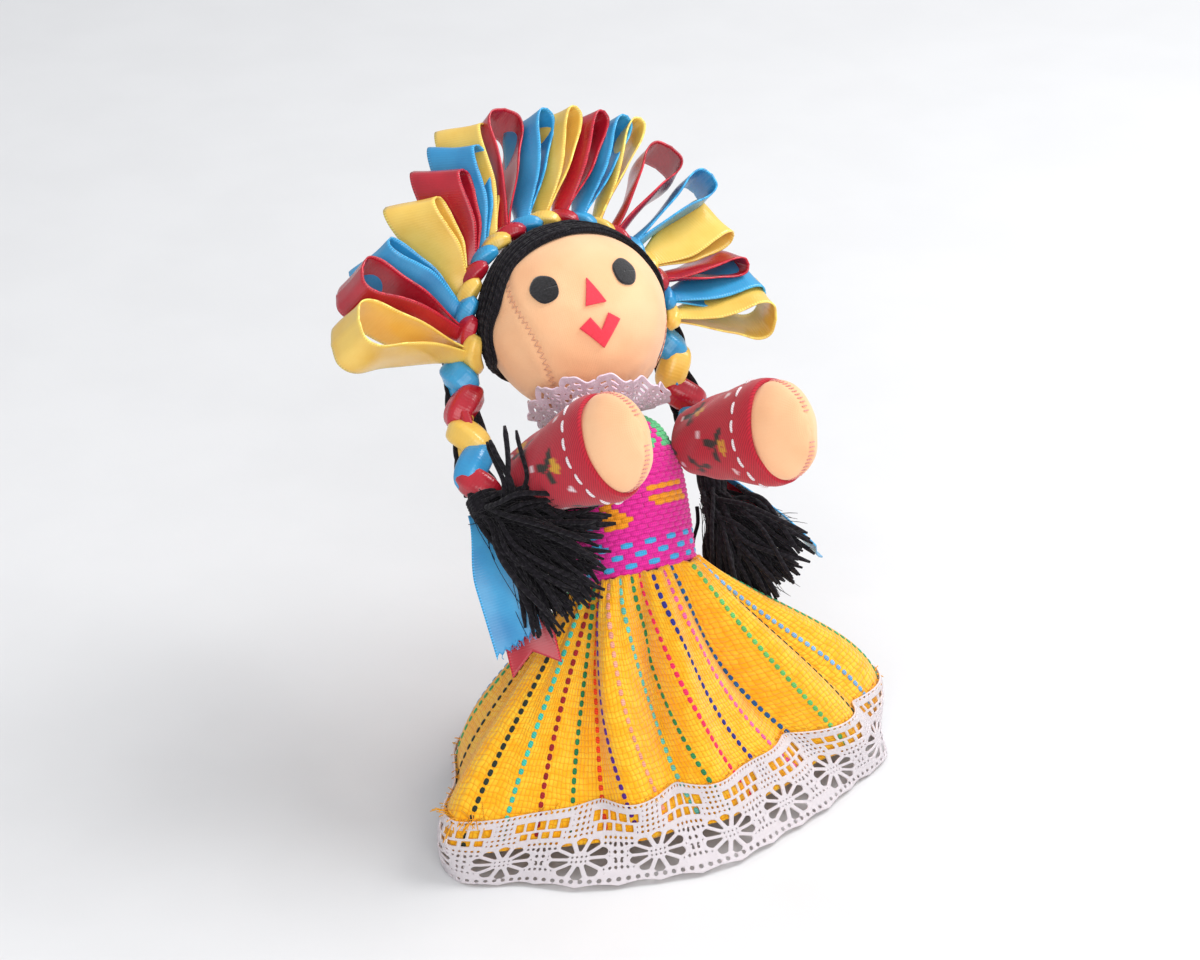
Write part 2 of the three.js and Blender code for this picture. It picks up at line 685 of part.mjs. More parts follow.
function addLoop(index, loop) {
  const turn = rad(-CROWN_SPAN + (2 * CROWN_SPAN * index) / (crownLoops.length - 1));
  const foot = vec(crownHalfX * Math.sin(turn), CROWN_BACK, crownHalfZ * Math.cos(turn));
  const heading = turn + rad(loop.lean);
  const back = vec(0, 1, 0);
  const inPlane = vec(Math.sin(heading), 0, Math.cos(heading));
  const along = inPlane.clone().multiplyScalar(Math.cos(rad(loop.tip)));
  along.addScaledVector(back, Math.sin(rad(loop.tip)));
  const deep = back.clone().addScaledVector(along, -back.dot(along)).normalize();
  const beside = deep.clone().cross(along);
  const wide = deep.clone().multiplyScalar(Math.sin(rad(loop.twist)));
  wide.addScaledVector(beside, -Math.cos(rad(loop.twist)));
  const thin = along.clone().cross(wide);
  const points = [];
  const widths = [];
  const across = [];
  const put = (p, sign) => {
    const grown = THREE.MathUtils.smoothstep(p.x, 0, 0.55);
    points.push(
      foot
        .clone()
        .addScaledVector(along, p.x * loop.length)
        .addScaledVector(thin, sign * (p.y * loop.open + 0.12 * (1 - p.x))),
    );
    widths.push(LOOP_PINCH + (RIBBON_WIDTH - LOOP_PINCH) * grown);
    across.push(wide);
  };
  for (let i = 0; i < LOOP_STEPS; i += 1) put(loopSide.getPoint(i / LOOP_STEPS), 1);
  put(new THREE.Vector2(1, 0), 1);
  for (let i = LOOP_STEPS - 1; i >= 0; i -= 1) put(loopSide.getPoint(i / LOOP_STEPS), -1);
  const knot = ball(KNOT_LONG, KNOT_DEEP, KNOT_THICK, 6, 4)
    .rotate([0, THREE.MathUtils.radToDeg(turn), 0])
    .translate([foot.x, foot.y, foot.z]);
  const bight = ribbon(points, widths, across, RIBBON_CLOTH);
  const number = String(index + 1).padStart(2, "0");
  add(
    headMiddle,
    "crown_loop_" + number + "_" + loop.color,
    bight.add(knot),
    ribbonColors[loop.color],
    SATIN,
  );
}
crownLoops.forEach((loop, index) => addLoop(index, loop));

// Braids, in the frame of the torso. Each path runs from the ear to the tie.
const rightBraid = [vec(-22.5, 8.8, 41.6), vec(-25, 4.8, 34), vec(-27.4, -0.5, 26), vec(-28, -3, 20)];
const leftBraid = [vec(22, 9.2, 42.8), vec(22.4, 10.2, 35), vec(23.4, 10.6, 26.5), vec(24.4, 10, 19.5)];
const rightTassel = [vec(-27.9, -4.6, 16.5), vec(-26.6, -10, 8), vec(-25.6, -13.5, -2)];
const leftTassel = [vec(25, 9.4, 16), vec(27.6, 7.8, 6), vec(30.4, 6, -4)];
const STRAND_STEPS = 15;

function addBraid(name, path, tasselPath, side) {
  const curve = new THREE.CatmullRomCurve3(path);
  const outwards = vec(side, -0.25, 0.1).normalize();
  ["blue", "red", "yellow"].forEach((color, number) => {
    const points = [];
    for (let i = 0; i <= STRAND_STEPS; i += 1) {
      const t = i / STRAND_STEPS;
      const along = curve.getTangent(t);
      const across = along.clone().cross(outwards).normalize();
      const phase = t * STRAND_TURNS * Math.PI * 2 + (number * Math.PI * 2) / 3;
      points.push(
        curve
          .getPoint(t)
          .addScaledVector(across, STRAND_SIDE * Math.sin(phase))
          .addScaledVector(across.cross(along), STRAND_DEEP * Math.sin(2 * phase)),
      );
    }
    add(
      torso,
      name + "_braid_" + color,
      strand(points, points.map(() => STRAND_HALF), 6),
      ribbonColors[color],
      SATIN,
    );
  });
  const tieAlong = tasselPath[0].clone().sub(path[path.length - 1]).normalize();
  const tieStart = path[path.length - 1].clone().addScaledVector(tieAlong, STRAND_HALF + FIT_GAP);
  const tieEnd = tieStart.clone().addScaledVector(tieAlong, TIE_LONG);
  const tie = strand([tieStart, tieEnd], [TIE_HALF, TIE_HALF], 10);
  add(torso, name + "_braid_tie", tie, BLACK, COTTON);
  const fall = new THREE.CatmullRomCurve3([
    tieEnd.clone().addScaledVector(tieAlong, FIT_GAP + 0.4),
    tasselPath[1],
    tasselPath[2],
  ]);
  const fallPoints = fall.getPoints(5);
  const fallHalves = [0.5, 0.78, 0.95, 1, 1, 0.86].map((k) => k * TASSEL_HALF);
  add(torso, name + "_tassel", strand(fallPoints, fallHalves, 10), BLACK, COTTON);
}
addBraid("right", rightBraid, rightTassel, -1);
addBraid("left", leftBraid, leftTassel, 1);

// Ribbon tails that hang from the ties
function addTail(name, path, across, color) {
  const points = new THREE.CatmullRomCurve3(path).getPoints(6);
  const widths = points.map((_, i) => TAIL_WIDTH * (0.45 + 0.55 * Math.min(i / 3, 1)));
  const wide = points.map(() => across.clone());
  add(torso, name, ribbon(points, widths, wide, RIBBON_CLOTH), color, SATIN);
}
const broadside = vec(0.93, -0.37, 0);
const edgewise = vec(-0.37, -0.93, 0);
addTail(
  "right_tail_blue",
  [vec(-28.4, 0.6, 16.6), vec(-29, 0.6, 3), vec(-30, 0, -10)],
  broadside,
  BLUE,
);
addTail(
  "right_tail_red",
  [vec(-28.2, -2.3, 11.8), vec(-28.6, -4.4, -2), vec(-29.4, -4.4, -15)],
  broadside,
  RED,
);
addTail(
  "left_tail_blue",
  [vec(31, 9.5, 14), vec(35, 8, 5), vec(41, 6, -4)],
  edgewise,
  BLUE,
);
addTail(
  "left_tail_red",
  [vec(26.6, 14, 13), vec(28.6, 13.6, 4.5), vec(30.4, 12.4, -3.5)],
  broadside,
  RED,
);

export default doll;
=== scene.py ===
"""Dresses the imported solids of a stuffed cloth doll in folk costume.

Padded cotton head and limbs, a gathered striped skirt with a lace hem, satin
ribbon loops and plaits, yarn hair and tassels. Lengths inside the functions
are in millimetres, in the part's own frame.
"""

import math
import random

import bpy
import numpy as np
from mathutils import Matrix, Vector


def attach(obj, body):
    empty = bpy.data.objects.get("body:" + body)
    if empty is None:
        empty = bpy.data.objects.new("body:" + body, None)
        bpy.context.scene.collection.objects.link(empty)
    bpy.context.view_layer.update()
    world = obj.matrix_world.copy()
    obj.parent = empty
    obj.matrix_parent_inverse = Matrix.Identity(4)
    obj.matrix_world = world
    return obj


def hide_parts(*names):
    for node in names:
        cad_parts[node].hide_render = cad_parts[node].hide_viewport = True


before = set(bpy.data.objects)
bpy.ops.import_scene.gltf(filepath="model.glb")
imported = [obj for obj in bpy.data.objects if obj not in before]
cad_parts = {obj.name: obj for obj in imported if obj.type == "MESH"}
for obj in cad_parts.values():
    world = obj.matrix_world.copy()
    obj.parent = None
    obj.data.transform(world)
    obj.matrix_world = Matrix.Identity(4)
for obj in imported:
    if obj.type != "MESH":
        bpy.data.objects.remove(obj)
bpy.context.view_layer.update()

bl_info = {
    "name": "Folk cloth doll",
    "version": (1, 0, 0),
    "blender": (4, 5, 0),
    "location": "3D View > Sidebar > Doll",
    "description": "Dresses a stuffed cloth doll with woven, satin, lace and yarn pieces",
    "category": "Add Mesh",
}

MM = 0.001
TURN = 2 * math.pi

# Stance, as in the solids
DOLL_SHIFT = np.array([-2.57, -23.91, 0.0])
WAIST_BACK, WAIST_HEIGHT = 9.0, 46.0
TORSO_LEAN, NECK_LEAN = 31.0, 9.0
NECK_PIVOT, HEAD_LIFT = 31.0, 17.0

# Head
HEAD_HALF = np.array([17.2, 16.0, 17.5])
CROWN_BACK, CROWN_SPAN = 5.0, 95.0
CROWN_HALF = (20.13, 20.41)

# Torso stations: height, half width
TORSO_FLATNESS = 0.8
TORSO_STATIONS = (
    (-9.5, 3.0), (-8.7, 5.8), (-4.75, 9.2), (0.0, 10.4), (8.5, 11.2), (17.0, 11.4),
    (24.5, 9.4), (27.75, 6.2), (29.5, 5.2), (34.0, 5.2),
)

# Arms
ARM_PIVOT = np.array([17.0, -5.9, 20.5])
ARM_ROOT = 5.9
HAND_HALF_WIDTH, HAND_HALF_TALL = 6.0, 8.8
SLEEVE_LENGTH, SLEEVE_PRINT_START = 21.5, -4.9

# Skirt
HEM_HALF_WIDTH, HEM_HALF_DEPTH = 48.0, 36.0
# Outline of the hem from +X round by +Y, as shares of its half width and half depth
HEM_OUTLINE = (
    (1.01, 0.17), (0.83, 0.69), (0.42, 1.0), (-0.07, 1.0), (-0.48, 0.69), (-0.77, 0.22),
    (-0.94, -0.2), (-0.71, -0.44), (-0.33, -0.69), (0.15, -0.715), (0.595, -0.475), (0.93, -0.22),
)
SIDE_PUFF, SIDE_SWAY, FRONT_HOLLOW, BACK_PUFF = 0.28, 0.02, 0.13, 0.06
# The puff lies lower on the skirt the further this is above 1
PUFF_LOW = 1.6
WAIST_HALF_X, WAIST_HALF_Y = 11.55, 9.47
SKIRT_END, LACE_START, LACE_LIFT = 0.87, 0.745, 1.05


def linear(text):
    """Scene colour of a written sRGB colour such as F2C95A."""
    parts = [int(text[i:i + 2], 16) / 255 for i in (0, 2, 4)]
    return tuple(p / 12.92 if p <= 0.04045 else ((p + 0.055) / 1.055) ** 2.4 for p in parts)


# Frames
def turn_x(degrees):
    return np.array(Matrix.Rotation(math.radians(degrees), 3, "X"))


def turn_z(degrees):
    return np.array(Matrix.Rotation(math.radians(degrees), 3, "Z"))


TORSO_TURN = turn_x(-TORSO_LEAN)
HEAD_TURN = turn_x(-TORSO_LEAN - NECK_LEAN)
WAIST = DOLL_SHIFT + np.array([0, WAIST_BACK, WAIST_HEIGHT])
HEAD_MIDDLE = WAIST + TORSO_TURN @ [0, 0, NECK_PIVOT] + HEAD_TURN @ [0, 0, HEAD_LIFT]
# Seen from the front of the torso: to the viewer's right, down, and towards the viewer
VIEW_RIGHT = np.array([0.93, -0.37, 0.0])
VIEW_DOWN = np.array([0.0, 0.0, -1.0])
VIEW_NEAR = np.array([-0.37, -0.93, 0.0])


def from_doll(p):
    return np.asarray(p, float) + DOLL_SHIFT


def from_torso(p):
    return np.asarray(p, float) @ TORSO_TURN.T + WAIST


def from_head(p):
    return np.asarray(p, float) @ HEAD_TURN.T + HEAD_MIDDLE


def from_arm(p, side, turn, rise):
    turned = np.asarray(p, float) @ (turn_z(turn) @ turn_x(-rise)).T
    return from_torso(turned + ARM_PIVOT * [side, 1, 1])


# Curves and fields
def unit(v):
    return v / np.linalg.norm(v, axis=-1, keepdims=True).clip(1e-9)


def cubic(a, b, c, d, f):
    """Smooth step from b to c by the share f, with a before and d after them."""
    bend = (2 * a - 5 * b + 4 * c - d) * f**2 + (3 * b - a - 3 * c + d) * f**3
    return 0.5 * (2 * b + (c - a) * f + bend)


def curve_through(knots, count):
    """Evenly stepped points of a smooth curve through knots."""
    knots = np.asarray(knots, float)
    ends = np.vstack([2 * knots[0] - knots[1], knots, 2 * knots[-1] - knots[-2]])
    t = np.linspace(0, len(knots) - 1, count)
    i = np.minimum(t.astype(int), len(knots) - 2)
    return cubic(ends[i], ends[i + 1], ends[i + 2], ends[i + 3], (t - i)[:, None])


def lengths_along(points):
    steps = np.linalg.norm(np.diff(points, axis=0), axis=1)
    return np.concatenate([[0], np.cumsum(steps)])


def at_lengths(line, run, along):
    """Points of a line at those lengths along it."""
    return np.stack([np.interp(along, run, line[:, k]) for k in range(line.shape[1])], -1)


def cloth_grid(across, along):
    """Cloth coordinates of a grid with those columns and rows."""
    return np.stack(np.meshgrid(across, along, indexing="ij"), -1)


def hump(x, width):
    """1 at 0, falling away smoothly to both sides."""
    return np.exp(-((x / width) ** 2))


def strayed(rng, spread):
    return np.array([rng.gauss(0, spread) for _ in range(3)])


def puffed(points, amount):
    """Rings moved outwards from their upright axis."""
    return points + unit(points * [1, 1, 0]) * amount[..., None]


def smooth_step(low, high, x):
    t = np.clip((x - low) / (high - low), 0, 1)
    return t * t * (3 - 2 * t)


def lumps(points, size, seed):
    """Soft random unevenness between about -1 and 1, with humps of that size."""
    rng = np.random.default_rng(seed)
    total = np.zeros(points.shape[:-1])
    for _ in range(7):
        wave = rng.normal(size=3)
        wave *= rng.uniform(0.7, 1.5) * math.pi / size / np.linalg.norm(wave)
        total += np.sin(points @ wave + rng.uniform(0, TURN))
    return total / 3


def normals_of(points, wrap):
    if wrap:
        du = np.roll(points, -1, 0) - np.roll(points, 1, 0)
    else:
        du = np.gradient(points, axis=0)
    return unit(np.cross(du, np.gradient(points, axis=1)))


def carried_sides(along):
    """A side direction for each step of a strand, carried along without twisting."""
    seed = np.array([0, 0, 1.0]) if abs(along[0][2]) < 0.9 else np.array([1.0, 0, 0])
    side = unit(np.cross(along[0], seed))
    sides = []
    for step in along:
        side = unit(side - step * (side @ step))
        sides.append(side)
    return np.array(sides)


class Shape:
    """Points, faces, cloth coordinates and tints of one piece."""

    def __init__(self):
        self.points, self.tints = [], []
        self.faces, self.corners = [], []
        self.count = 0

    def put(self, points, tint=(1, 1, 1)):
        points = np.asarray(points, float).reshape(-1, 3)
        tint = np.asarray(tint, float).reshape(-1, 3)
        start = self.count
        self.points.append(points)
        self.tints.append(np.broadcast_to(tint, (len(points), 3)))
        self.count += len(points)
        return start

    def face(self, indices, corners):
        self.faces.extend(np.asarray(indices).tolist())
        self.corners.append(np.asarray(corners, float).reshape(-1, 2))

    def grid(self, points, uv, wrap=False, tint=(1, 1, 1), flip=False):
        columns, rows = points.shape[:2]
        start = self.put(points, tint)
        spans = columns if wrap else columns - 1
        i, j = np.meshgrid(np.arange(spans), np.arange(rows - 1), indexing="ij")
        i, j = i.ravel(), j.ravel()
        k = (i + 1) % columns
        here, there = i * rows + j, k * rows + j
        quads = np.stack([here, there, there + 1, here + 1], 1) + start
        corners = np.stack([uv[i, j], uv[i + 1, j], uv[i + 1, j + 1], uv[i, j + 1]], 1)
        if flip:
            quads, corners = quads[:, ::-1], corners[:, ::-1]
        self.face(quads, corners)
        return start

    def sheet(self, points, uv, thickness, wrap=False, tint=(1, 1, 1)):
        """Cloth of even thickness about its middle surface, closed at its edges."""
        half = normals_of(points, wrap) * thickness / 2
        columns, rows = points.shape[:2]
        a = self.grid(points + half, uv, wrap, tint)
        b = self.grid(points - half, uv, wrap, tint, flip=True)
        i = np.arange(columns if wrap else columns - 1)
        k = (i + 1) % columns
        for row, ends in ((0, (k, i)), (rows - 1, (i, k))):
            p, q = ends[0] * rows + row, ends[1] * rows + row
            edge = np.stack([uv[i, row]] * 4, 1)
            self.face(np.stack([a + p, a + q, b + q, b + p], 1), edge)
        if not wrap:
            j = np.arange(rows - 1)
            for column, ends in ((0, (j, j + 1)), (columns - 1, (j + 1, j))):
                p, q = column * rows + ends[0], column * rows + ends[1]
                edge = np.stack([uv[column, j]] * 4, 1)
                self.face(np.stack([a + p, a + q, b + q, b + p], 1), edge)

    def body(self, points, uv, tint=(1, 1, 1)):
        """Closed form of rings: points run round each ring, then from ring to ring."""
        start = self.grid(points, uv, True, tint)
        sides, rings = points.shape[:2]
        shade = np.asarray(tint, float).reshape(-1, 3).mean(0)
        for ring, flip in ((0, True), (rings - 1, False)):
            loop = start + np.arange(sides) * rings + ring
            hub = np.full(sides, self.put(points[:, ring].mean(0), shade))
            fan = np.stack([loop, np.roll(loop, -1), hub], 1)
            middle = np.stack([uv[:-1, ring], uv[1:, ring], uv[:-1, ring]], 1)
            if flip:
                fan, middle = fan[:, ::-1], middle[:, ::-1]
            self.face(fan, middle)

    def tube(self, path, radius, sides=6, tint=(1, 1, 1), side=None, flat=1.0):
        """Round or flattened strand along a path. Side is the direction of its width."""
        path = np.asarray(path, float)
        radius = np.broadcast_to(np.asarray(radius, float), len(path))[None, :, None]
        along = unit(np.gradient(path, axis=0))
        if side is None:
            wide = carried_sides(along)
        else:
            wide = np.broadcast_to(np.asarray(side, float), path.shape)
            wide = unit(wide - along * (wide * along).sum(1, keepdims=True))
        thin = np.cross(along, wide)
        angle = (np.arange(sides) / sides * TURN)[:, None, None]
        ring = wide[None] * np.cos(angle) + thin[None] * np.sin(angle) * flat
        run = np.broadcast_to(lengths_along(path), (sides + 1, len(path)))
        round_it = np.broadcast_to(np.linspace(0, 1, sides + 1)[:, None], run.shape)
        self.body(path[None] + ring * radius, np.stack([round_it, run], -1), tint)

    def make(self, name, finish):
        mesh = bpy.data.meshes.new(name)
        mesh.from_pydata((np.concatenate(self.points) * MM).tolist(), [], self.faces)
        layer = mesh.uv_layers.new(name="Cloth")
        layer.data.foreach_set("uv", np.concatenate(self.corners).ravel())
        tints = np.concatenate(self.tints)
        tints = np.hstack([tints, np.ones((len(tints), 1))])
        mesh.color_attributes.new("Tint", "FLOAT_COLOR", "POINT")
        mesh.color_attributes["Tint"].data.foreach_set("color", tints.ravel())
        mesh.polygons.foreach_set("use_smooth", [True] * len(mesh.polygons))
        mesh.materials.append(finish.material)
        mesh.update()
        piece = bpy.data.objects.new(name, mesh)
        bpy.context.scene.collection.objects.link(piece)
        return piece


def pierced(shape, place, field, columns, rows, thickness, wrap):
    """Lace: cloth where field(s, t) is above 0, with smooth edges round its holes.

    s and t run from 0 to 1. place(s, t) gives points and normals. Tints are white.
    """
    s, t = np.meshgrid(np.arange(columns + 1) / columns, np.arange(rows + 1) / rows, indexing="ij")
    value = field(s, t)
    if wrap:
        value[-1] = value[0]
    found, spots, faces = {}, [], []

    def corner(i, j):
        key = (i % columns if wrap else i, j)
        if key not in found:
            found[key] = len(spots)
            spots.append((i / columns, j / rows))
        return found[key]

    def crossing(i, j, k, m):
        a, b = value[i, j], value[k, m]
        f = min(max(a / (a - b), 0.04), 0.96)
        column = i % columns if wrap and i == k else i
        key = (column, j, k - i, m - j) if (k, m) > (i, j) else (
            k % columns if wrap and i == k else k, m, i - k, j - m)
        if key not in found:
            found[key] = len(spots)
            spots.append(((i + (k - i) * f) / columns, (j + (m - j) * f) / rows))
        return found[key]

    solid = value > 0
    for i in range(columns):
        for j in range(rows):
            ring = ((i, j), (i + 1, j), (i + 1, j + 1), (i, j + 1))
            inside = [bool(solid[p]) for p in ring]
            if not any(inside):
                continue
            polygon = []
            for n, p in enumerate(ring):
                q = ring[(n + 1) % 4]
                if inside[n]:
                    polygon.append(corner(*p))
                if inside[n] != inside[(n + 1) % 4]:
                    polygon.append(crossing(*p, *q))
            if len(polygon) > 2:
                faces.append(polygon)
    spots = np.array(spots)
    points, normals = place(spots[:, 0], spots[:, 1])
    scale = np.array([columns, rows])
    a = shape.put(points + normals * thickness / 2)
    b = shape.put(points - normals * thickness / 2)
    edges = {}
    corners = []
    for polygon in faces:
        for n, p in enumerate(polygon):
            edges[(p, polygon[(n + 1) % len(polygon)])] = True
    for polygon in faces:
        shape.faces.append([a + p for p in polygon])
        corners.extend(spots[p] * scale for p in polygon)
        shape.faces.append([b + p for p in reversed(polygon)])
        corners.extend(spots[p] * scale for p in reversed(polygon))
    for p, q in edges:
        if (q, p) not in edges:
            shape.faces.append([a + q, a + p, b + p, b + q])
            corners.extend([spots[p] * scale] * 4)
    shape.corners.append(np.array(corners))


class Finish:
    """Material of one cloth: a Principled shader and the nodes that feed it."""

    def __init__(self, name, roughness, **sockets):
        self.material = bpy.data.materials.new(name)
        self.material.use_nodes = True
        self.tree = self.material.node_tree
        self.shader = next(n for n in self.tree.nodes if n.type == "BSDF_PRINCIPLED")
        self.shader.inputs["Roughness"].default_value = roughness
        for key, value in sockets.items():
            self.shader.inputs[key.replace("_", " ")].default_value = value

    def feed(self, socket, value):
        if isinstance(value, bpy.types.NodeSocket):
            self.tree.links.new(value, socket)
        else:
            socket.default_value = value

    def add(self, kind, inputs=None, **settings):
        node = self.tree.nodes.new("ShaderNode" + kind)
        for key, value in settings.items():
            setattr(node, key, value)
        for key, value in (inputs or {}).items():
            self.feed(node.inputs[key], value)
        return node

    def math(self, operation, a, b=0.5):
        return self.add("Math", {0: a, 1: b}, operation=operation).outputs[0]

    def cloth(self):
        """Cloth coordinates: millimetres across and along, as each piece lays them."""
        where = self.add("UVMap", uv_map="Cloth").outputs[0]
        split = self.add("SeparateXYZ", {0: where})
        return split.outputs[0], split.outputs[1]

    def noise(self, scale, detail=2.0):
        where = self.add("TexCoord").outputs["Object"]
        inputs = {"Vector": where, "Scale": scale, "Detail": detail}
        return self.add("TexNoise", inputs).outputs["Fac"]

    def between(self, value, low, high):
        inputs = {"Value": value, "From Min": low, "From Max": high}
        return self.add("MapRange", inputs, interpolation_type="SMOOTHSTEP").outputs[0]

    def blend(self, factor, a, b, way="MIX"):
        node = self.add("Mix", data_type="RGBA", blend_type=way)
        for index, value in ((0, factor), (6, a), (7, b)):
            if not isinstance(value, (float, int, bpy.types.NodeSocket)):
                value = (*value[:3], 1.0)
            self.feed(node.inputs[index], value)
        return node.outputs[2]

    def tint(self):
        return self.add("VertexColor", layer_name="Tint").outputs["Color"]

    def wave(self, value, pitch):
        """Runs from -1 to 1 and back once in two pitches."""
        return self.math("SINE", self.math("MULTIPLY", value, math.pi / pitch))

    def weave(self, across, along, drift=0.0):
        """Height of a plain weave with those thread pitches, from 0 to 1."""
        u, v = self.cloth()
        if drift:
            stray = self.math("SUBTRACT", self.noise(330.0, 2.0), 0.5)
            stray = self.math("MULTIPLY", stray, 2 * drift)
            u, v = self.math("ADD", u, stray), self.math("SUBTRACT", v, stray)
        a, b = self.wave(u, across), self.wave(v, along)
        over = self.math("GREATER_THAN", self.math("MULTIPLY", a, b), 0.0)
        a, b = self.math("ABSOLUTE", a), self.math("ABSOLUTE", b)
        warp = self.math("MULTIPLY", a, self.math("SQRT", b))
        weft = self.math("MULTIPLY", b, self.math("SQRT", a))
        node = self.add("Mix", {0: over, 2: weft, 3: warp}, data_type="FLOAT")
        return node.outputs[0]

    def colour(self, value):
        self.feed(self.shader.inputs["Base Color"], value)

    def bump(self, height, depth, strength=1.0):
        inputs = {"Height": height, "Strength": strength, "Distance": depth * MM}
        node = self.add("Bump", inputs)
        self.tree.links.new(node.outputs[0], self.shader.inputs["Normal"])

    def let_light_through(self, colour, share):
        """Thin cloth passes part of the light that falls on its other side."""
        thin = self.add("BsdfTranslucent", {"Color": (*colour[:3], 1.0)})
        both = self.add("MixShader", {0: share})
        self.tree.links.new(self.shader.outputs[0], both.inputs[1])
        self.tree.links.new(thin.outputs[0], both.inputs[2])
        end = next(n for n in self.tree.nodes if n.type == "OUTPUT_MATERIAL")
        self.tree.links.new(both.outputs[0], end.inputs["Surface"])


def shaded(colour, amount):
    return tuple(min(c * amount, 1.0) for c in colour)


def padded_cotton(name, colour, shade):
    """Fine plain cotton stretched over filling, a little uneven in colour."""
    finish = Finish(name, 0.82, Sheen_Weight=0.25, Sheen_Roughness=0.5, Specular_IOR_Level=0.25)
    weave = finish.weave(0.4, 0.4)
    patchy = finish.between(finish.noise(70.0, 3.0), 0.3, 0.75)
    base = finish.blend(patchy, colour, shade)
    # Painted shade: the cotton turns towards the shade colour where the weave lies low, between its
    # threads
    base = finish.blend(finish.between(weave, -0.6, 0.3), shade, base)
    finish.colour(base)
    height = finish.math("ADD", weave, finish.math("MULTIPLY", finish.noise(1500.0), 0.8))
    finish.bump(height, 0.04, 0.5)
    return finish


def satin(name, colour, shade):
    """Satin ribbon: glossy, with fine cross ribs and a woven edge."""
    finish = Finish(name, 0.27, Coat_Weight=0.25, Coat_Roughness=0.22, Anisotropic=0.4,
                    Specular_IOR_Level=0.55)
    along, across = finish.cloth()
    ribs = finish.wave(along, 0.26)
    edge = finish.between(finish.math("ABSOLUTE", across), 4.35, 4.75)
    patchy = finish.between(finish.noise(120.0, 3.0), 0.3, 0.8)
    base = finish.blend(patchy, colour, shade)
    notch = finish.math("MULTIPLY", edge, finish.between(ribs, -0.4, 0.6))
    finish.colour(finish.blend(notch, base, shaded(colour, 1.35)))
    grain = finish.math("MULTIPLY", finish.noise(900.0), 0.7)
    height = finish.math("ADD", finish.math("MULTIPLY", ribs, 0.35), grain)
    finish.bump(finish.math("ADD", height, notch), 0.05, 0.5)
    return finish


def twisted_yarn(name, colour, light, ply):
    """Plied yarn or thread: tube coordinates give the turns of its plies."""
    finish = Finish(name, 0.9, Sheen_Weight=0.08, Sheen_Roughness=0.5, Specular_IOR_Level=0.12)
    round_it, along = finish.cloth()
    turns = finish.math("ADD", finish.math("MULTIPLY", round_it, 2.0),
                        finish.math("DIVIDE", along, ply))
    plies = finish.math("ABSOLUTE", finish.wave(turns, 1.0))
    fuzz = finish.noise(2200.0, 4.0)
    # Painted sheen: the lighter colour shows on the crests of the plies, broken up by the fibre noise
    factor = finish.math("MULTIPLY", finish.between(fuzz, 0.35, 0.8), plies)
    finish.colour(finish.blend(factor, colour, light))
    finish.bump(finish.math("ADD", plies, fuzz), 0.16, 0.8)
    return finish


def tinted_thread(name, ply):
    """Thread that takes its colour from the piece's own tints."""
    finish = Finish(name, 0.75, Sheen_Weight=0.2, Sheen_Roughness=0.4, Specular_IOR_Level=0.3)
    round_it, along = finish.cloth()
    turns = finish.math("ADD", round_it, finish.math("DIVIDE", along, ply))
    plies = finish.math("ABSOLUTE", finish.wave(turns, 0.5))
    tint = finish.tint()
    # Painted shade: the thread is darker in the grooves between its plies
    finish.colour(finish.blend(plies, finish.blend(0.35, tint, (0, 0, 0)), tint))
    finish.bump(finish.math("ADD", plies, finish.noise(2500.0)), 0.08, 0.7)
    return finish


def felt(name, colour, light):
    """Thin felt with loose fibres."""
    finish = Finish(name, 0.95, Sheen_Weight=0.35, Sheen_Roughness=0.6, Specular_IOR_Level=0.15)
    fibres = finish.noise(2600.0, 5.0)
    finish.colour(finish.blend(finish.between(fibres, 0.3, 0.75), colour, light))
    finish.bump(fibres, 0.12, 0.6)
    return finish


def coarse_weave(name, colour, shade, light):
    """Open coarse plain weave of the skirt, darker between its uneven threads: painted shade."""
    finish = Finish(name, 0.85, Sheen_Weight=0.3, Sheen_Roughness=0.5, Specular_IOR_Level=0.2)
    weave = finish.weave(1.0, 1.15, drift=0.55)
    fibres = finish.noise(1800.0, 4.0)
    patchy = finish.between(finish.noise(420.0, 3.0), 0.35, 0.65)
    base = finish.blend(patchy, colour, light)
    # Painted shade: the shade colour fills the low gaps between the threads
    finish.colour(finish.blend(finish.between(weave, 0.0, 0.38), shade, base))
    height = finish.math("ADD", weave, finish.math("MULTIPLY", fibres, 0.4))
    finish.bump(height, 0.24, 0.8)
    return finish


def tinted_cloth(name, pitch, depth, twill):
    """Cloth whose motifs are in the piece's tints: twill lines or a plain weave."""
    finish = Finish(name, 0.8, Sheen_Weight=0.25, Sheen_Roughness=0.5, Specular_IOR_Level=0.25)
    if twill:
        u, v = finish.cloth()
        height = finish.wave(finish.math("ADD", u, v), pitch)
        height = finish.math("MULTIPLY", finish.math("ADD", height, 1.0), 0.5)
    else:
        height = finish.weave(pitch, pitch)
    fibres = finish.noise(1600.0, 4.0)
    tint = finish.tint()
    # Painted shade: the tints are darker where the weave or twill lies low, with the fibre noise mixed
    # in
    dark = finish.blend(1.0, tint, (0.62, 0.6, 0.62), "MULTIPLY")
    mixed = finish.math("ADD", finish.math("MULTIPLY", height, 0.7),
                        finish.math("MULTIPLY", fibres, 0.45))
    finish.colour(finish.blend(finish.between(mixed, 0.1, 0.7), dark, tint))
    finish.bump(mixed, depth, 0.7)
    return finish


